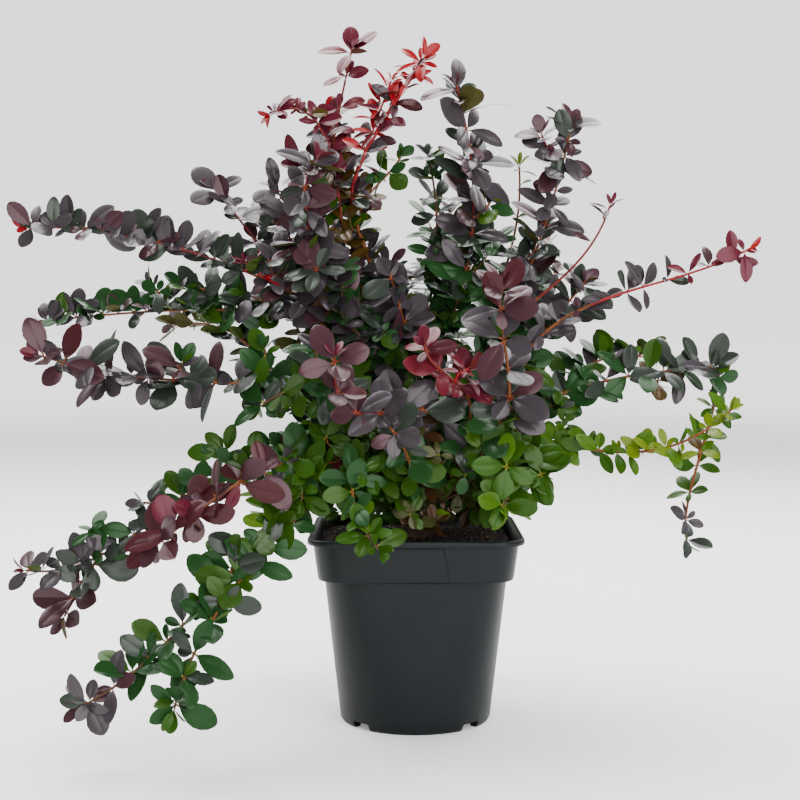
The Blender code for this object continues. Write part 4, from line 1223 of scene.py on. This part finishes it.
def loft(rings, low_pole, high_pole):
    """Points and faces of a closed skin through equal rings, closed by a point at each end."""
    sides = len(rings[0])
    points = [point for ring in rings for point in ring] + [low_pole, high_pole]
    faces = []
    for row in range(len(rings) - 1):
        for side in range(sides):
            after = (side + 1) % sides
            low, high = row * sides, (row + 1) * sides
            faces.append((low + side, low + after, high + after, high + side))
    last = (len(rings) - 1) * sides
    for side in range(sides):
        after = (side + 1) % sides
        faces.append((after, side, len(points) - 2))
        faces.append((last + side, last + after, len(points) - 1))
    return points, faces


def make_object(name, points, faces):
    mesh = bpy.data.meshes.new(name)
    mesh.from_pydata([Vector(point) * MM for point in points], [], faces)
    piece = bpy.data.objects.new(name, mesh)
    bpy.context.scene.collection.objects.link(piece)
    return piece


def notch_cutter(quarter):
    """A block that cuts one drainage notch through the foot, at a corner of the pot."""
    turn = math.pi / 4 + quarter * math.pi / 2
    near, far = PAD_RADIUS + 14.0, BODY_FOOT_RADIUS + 10.0
    points = []
    for z, narrow in ((-5.0, 0.0), (NOTCH_HEIGHT - 0.8, 0.6), (NOTCH_HEIGHT, 1.6)):
        for out, side in ((near, -1), (far, -1), (far, 1), (near, 1)):
            across = side * (NOTCH_WIDTH / 2 - narrow)
            points.append((out * math.cos(turn) - across * math.sin(turn),
                           out * math.sin(turn) + across * math.cos(turn), z))
    faces = [(3, 2, 1, 0), (8, 9, 10, 11)]
    for low in (0, 4):
        faces += [(low + k, low + (k + 1) % 4, low + 4 + (k + 1) % 4, low + 4 + k) for k in range(4)]
    return make_object("cut_notch", points, faces)


def make_pot():
    pot = make_object("pot_body", *loft(pot_rings(), (0, 0, 0), (0, 0, FLOOR_TOP_Z)))
    cutters = [notch_cutter(quarter) for quarter in range(4)]
    for cutter in cutters:
        cut = pot.modifiers.new("cut", "BOOLEAN")
        cut.operation = "DIFFERENCE"
        cut.object = cutter
    graph = bpy.context.evaluated_depsgraph_get()
    cut_mesh = bpy.data.meshes.new_from_object(pot.evaluated_get(graph))
    pot.modifiers.clear()
    pot.data = cut_mesh
    for cutter in cutters:
        bpy.data.objects.remove(cutter, do_unlink=True)
    cut_mesh.materials.clear()
    cut_mesh.materials.append(pot_plastic)
    cut_mesh.shade_smooth()
    cut_mesh.set_sharp_from_angle(angle=math.radians(35))
    hand_over(pot, ["pot"])


make_pot()

# %% [markdown]
# Potting soil is a dark, open mix of peat crumbs, bark chips and a little pale grit. The bed is a
# closed body with a bumpy top; crumbs, chips and grit are scattered over it by Geometry Nodes.

# %% Soil bed
SOIL_MIDDLE_Z = 136.6
SOIL_EDGE_Z = 135.0
SOIL_RINGS = 26
SKIRT_TOP = 0.125


def soil_height(x, y, share):
    rough = noise.noise(Vector((x, y, 0.0)) * 0.09) * 1.6 + noise.noise(Vector((x, y, 5.0)) * 0.3)
    return SOIL_MIDDLE_Z + (SOIL_EDGE_Z - SOIL_MIDDLE_Z) * share + rough


def edge_gap(point):
    """How far a point of the bed is from the pot's wall."""
    return COLLAR_TOP_WIDTH / 2 - WALL - max(abs(point.x), abs(point.y))


def make_soil_bed():
    rings = []
    edge = collar_ring(130.0, WALL + 0.8)
    for index in range(SOIL_RINGS):
        share = 1.0 - index / SOIL_RINGS
        rings.append([(x * share, y * share, soil_height(x * share, y * share, share))
                      for x, y, _ in edge])
    skirt = [collar_ring(116.5, WALL + 0.8), collar_ring(120.0, WALL + 0.8)]
    rings = [*skirt, *rings]
    bed = make_object("soil_bed", *loft(rings, (0, 0, 116.5), (0, 0, SOIL_MIDDLE_Z)))
    inside = [0.0 if point.co.z < SKIRT_TOP else edge_gap(point.co / MM) for point in bed.data.vertices]
    bed.data.attributes.new("inside", "FLOAT", "POINT").data.foreach_set("value", inside)
    return bed


soil_bed = make_soil_bed()
soil_bed.data.materials.append(soil_finish)
soil_bed.data.shade_smooth()

# %% The tree that scatters bits over the soil
bits_tree, bits_in, bits_out = new_tree("scatter_bits", (
    ("Shapes", "Collection"), ("Density", "Float"), ("Smallest", "Float"), ("Largest", "Float"),
    ("Wall Gap", "Float"), ("Seed", "Int"), ("Finish", "Material")))
is_top = add_node(bits_tree, "FunctionNodeCompare",
                  {0: named(bits_tree, "inside", "FLOAT"), 1: bits_in.outputs["Wall Gap"]},
                  operation="GREATER_THAN")
strewn = add_node(bits_tree, "GeometryNodeDistributePointsOnFaces",
                  {"Mesh": bits_in.outputs["Geometry"], "Selection": is_top.outputs["Result"],
                   "Density": bits_in.outputs["Density"], "Seed": bits_in.outputs["Seed"]})
bit_shapes = add_node(bits_tree, "GeometryNodeCollectionInfo",
                      {"Collection": bits_in.outputs["Shapes"], "Separate Children": True,
                       "Reset Children": True})
bit_turn = add_node(bits_tree, "FunctionNodeRandomValue", {1: (6.28, 6.28, 6.28)},
                    data_type="FLOAT_VECTOR")
bit_size = add_node(bits_tree, "FunctionNodeRandomValue", data_type="FLOAT")
bits_tree.links.new(bits_in.outputs["Smallest"], bit_size.inputs[2])
bits_tree.links.new(bits_in.outputs["Largest"], bit_size.inputs[3])
for chance in (bit_turn, bit_size):
    bits_tree.links.new(bits_in.outputs["Seed"], chance.inputs["Seed"])
set_bits = add_node(bits_tree, "GeometryNodeInstanceOnPoints",
                    {"Points": strewn.outputs["Points"], "Instance": bit_shapes.outputs["Instances"],
                     "Pick Instance": True, "Rotation": bit_turn.outputs[0],
                     "Scale": bit_size.outputs[1]})
bits_real = add_node(bits_tree, "GeometryNodeRealizeInstances",
                     {"Geometry": set_bits.outputs["Instances"]})
bits_dressed = add_node(bits_tree, "GeometryNodeSetMaterial",
                        {"Geometry": bits_real.outputs["Geometry"],
                         "Material": bits_in.outputs["Finish"]})
bits_tree.links.new(bits_dressed.outputs["Geometry"], bits_out.inputs["Geometry"])


# %% Crumbs, chips and grit
def make_lump(name, seed, stretch):
    """A small uneven stone or chip, one unit across, from a rounded solid of twenty faces."""
    dice = random.Random(seed)
    golden = (1 + math.sqrt(5)) / 2
    corners = []
    for a in (-1, 1):
        for b in (-golden, golden):
            corners += [(0, a, b), (a, b, 0), (b, 0, a)]
    hull = bmesh.new()
    for corner in corners:
        place = Vector(corner).normalized() * 0.5 * dice.uniform(0.75, 1.2)
        hull.verts.new([place[axis] * stretch[axis] for axis in range(3)])
    bmesh.ops.convex_hull(hull, input=hull.verts)
    bmesh.ops.recalc_face_normals(hull, faces=hull.faces)
    mesh = bpy.data.meshes.new(name)
    hull.to_mesh(mesh)
    hull.free()
    return bpy.data.objects.new(name, mesh)


def scatter(name, stretches, density, sizes, seed, finish):
    shapes = bpy.data.collections.new(name)
    for index, stretch in enumerate(stretches):
        shapes.objects.link(make_lump(f"{name}_{index}", seed * 10 + index, stretch))
    source = soil_bed.copy()
    bpy.context.scene.collection.objects.link(source)
    reach = max(max(stretch) for stretch in stretches) * sizes[1] / 2
    values = {"Shapes": shapes, "Density": density, "Smallest": sizes[0] * MM,
              "Largest": sizes[1] * MM, "Wall Gap": reach, "Seed": seed, "Finish": finish}
    piece = run_tree(source, bits_tree, values, name)
    for shape in list(shapes.objects):
        bpy.data.objects.remove(shape, do_unlink=True)
    hand_over(piece, [])


peat = new_finish("peat_crumbs", (0.013, 0.009, 0.007), 0.95)
chip = new_finish("bark_chips", (0.055, 0.026, 0.014), 0.85)
grit = new_finish("pale_grit", (0.32, 0.28, 0.21), 0.8)
round_lumps = ((1.0, 1.0, 0.8), (1.2, 0.8, 0.8), (0.8, 0.9, 1.0))
flat_lumps = ((2.2, 0.7, 0.35), (1.6, 0.9, 0.3), (3.2, 0.4, 0.35))
scatter("soil_crumbs", round_lumps, 110000.0, (1.4, 4.2), 3, peat)
scatter("soil_chips", flat_lumps, 16000.0, (1.6, 3.6), 5, chip)
scatter("soil_grit", round_lumps, 4200.0, (0.9, 1.9), 8, grit)
hand_over(soil_bed, ["potting_soil"])
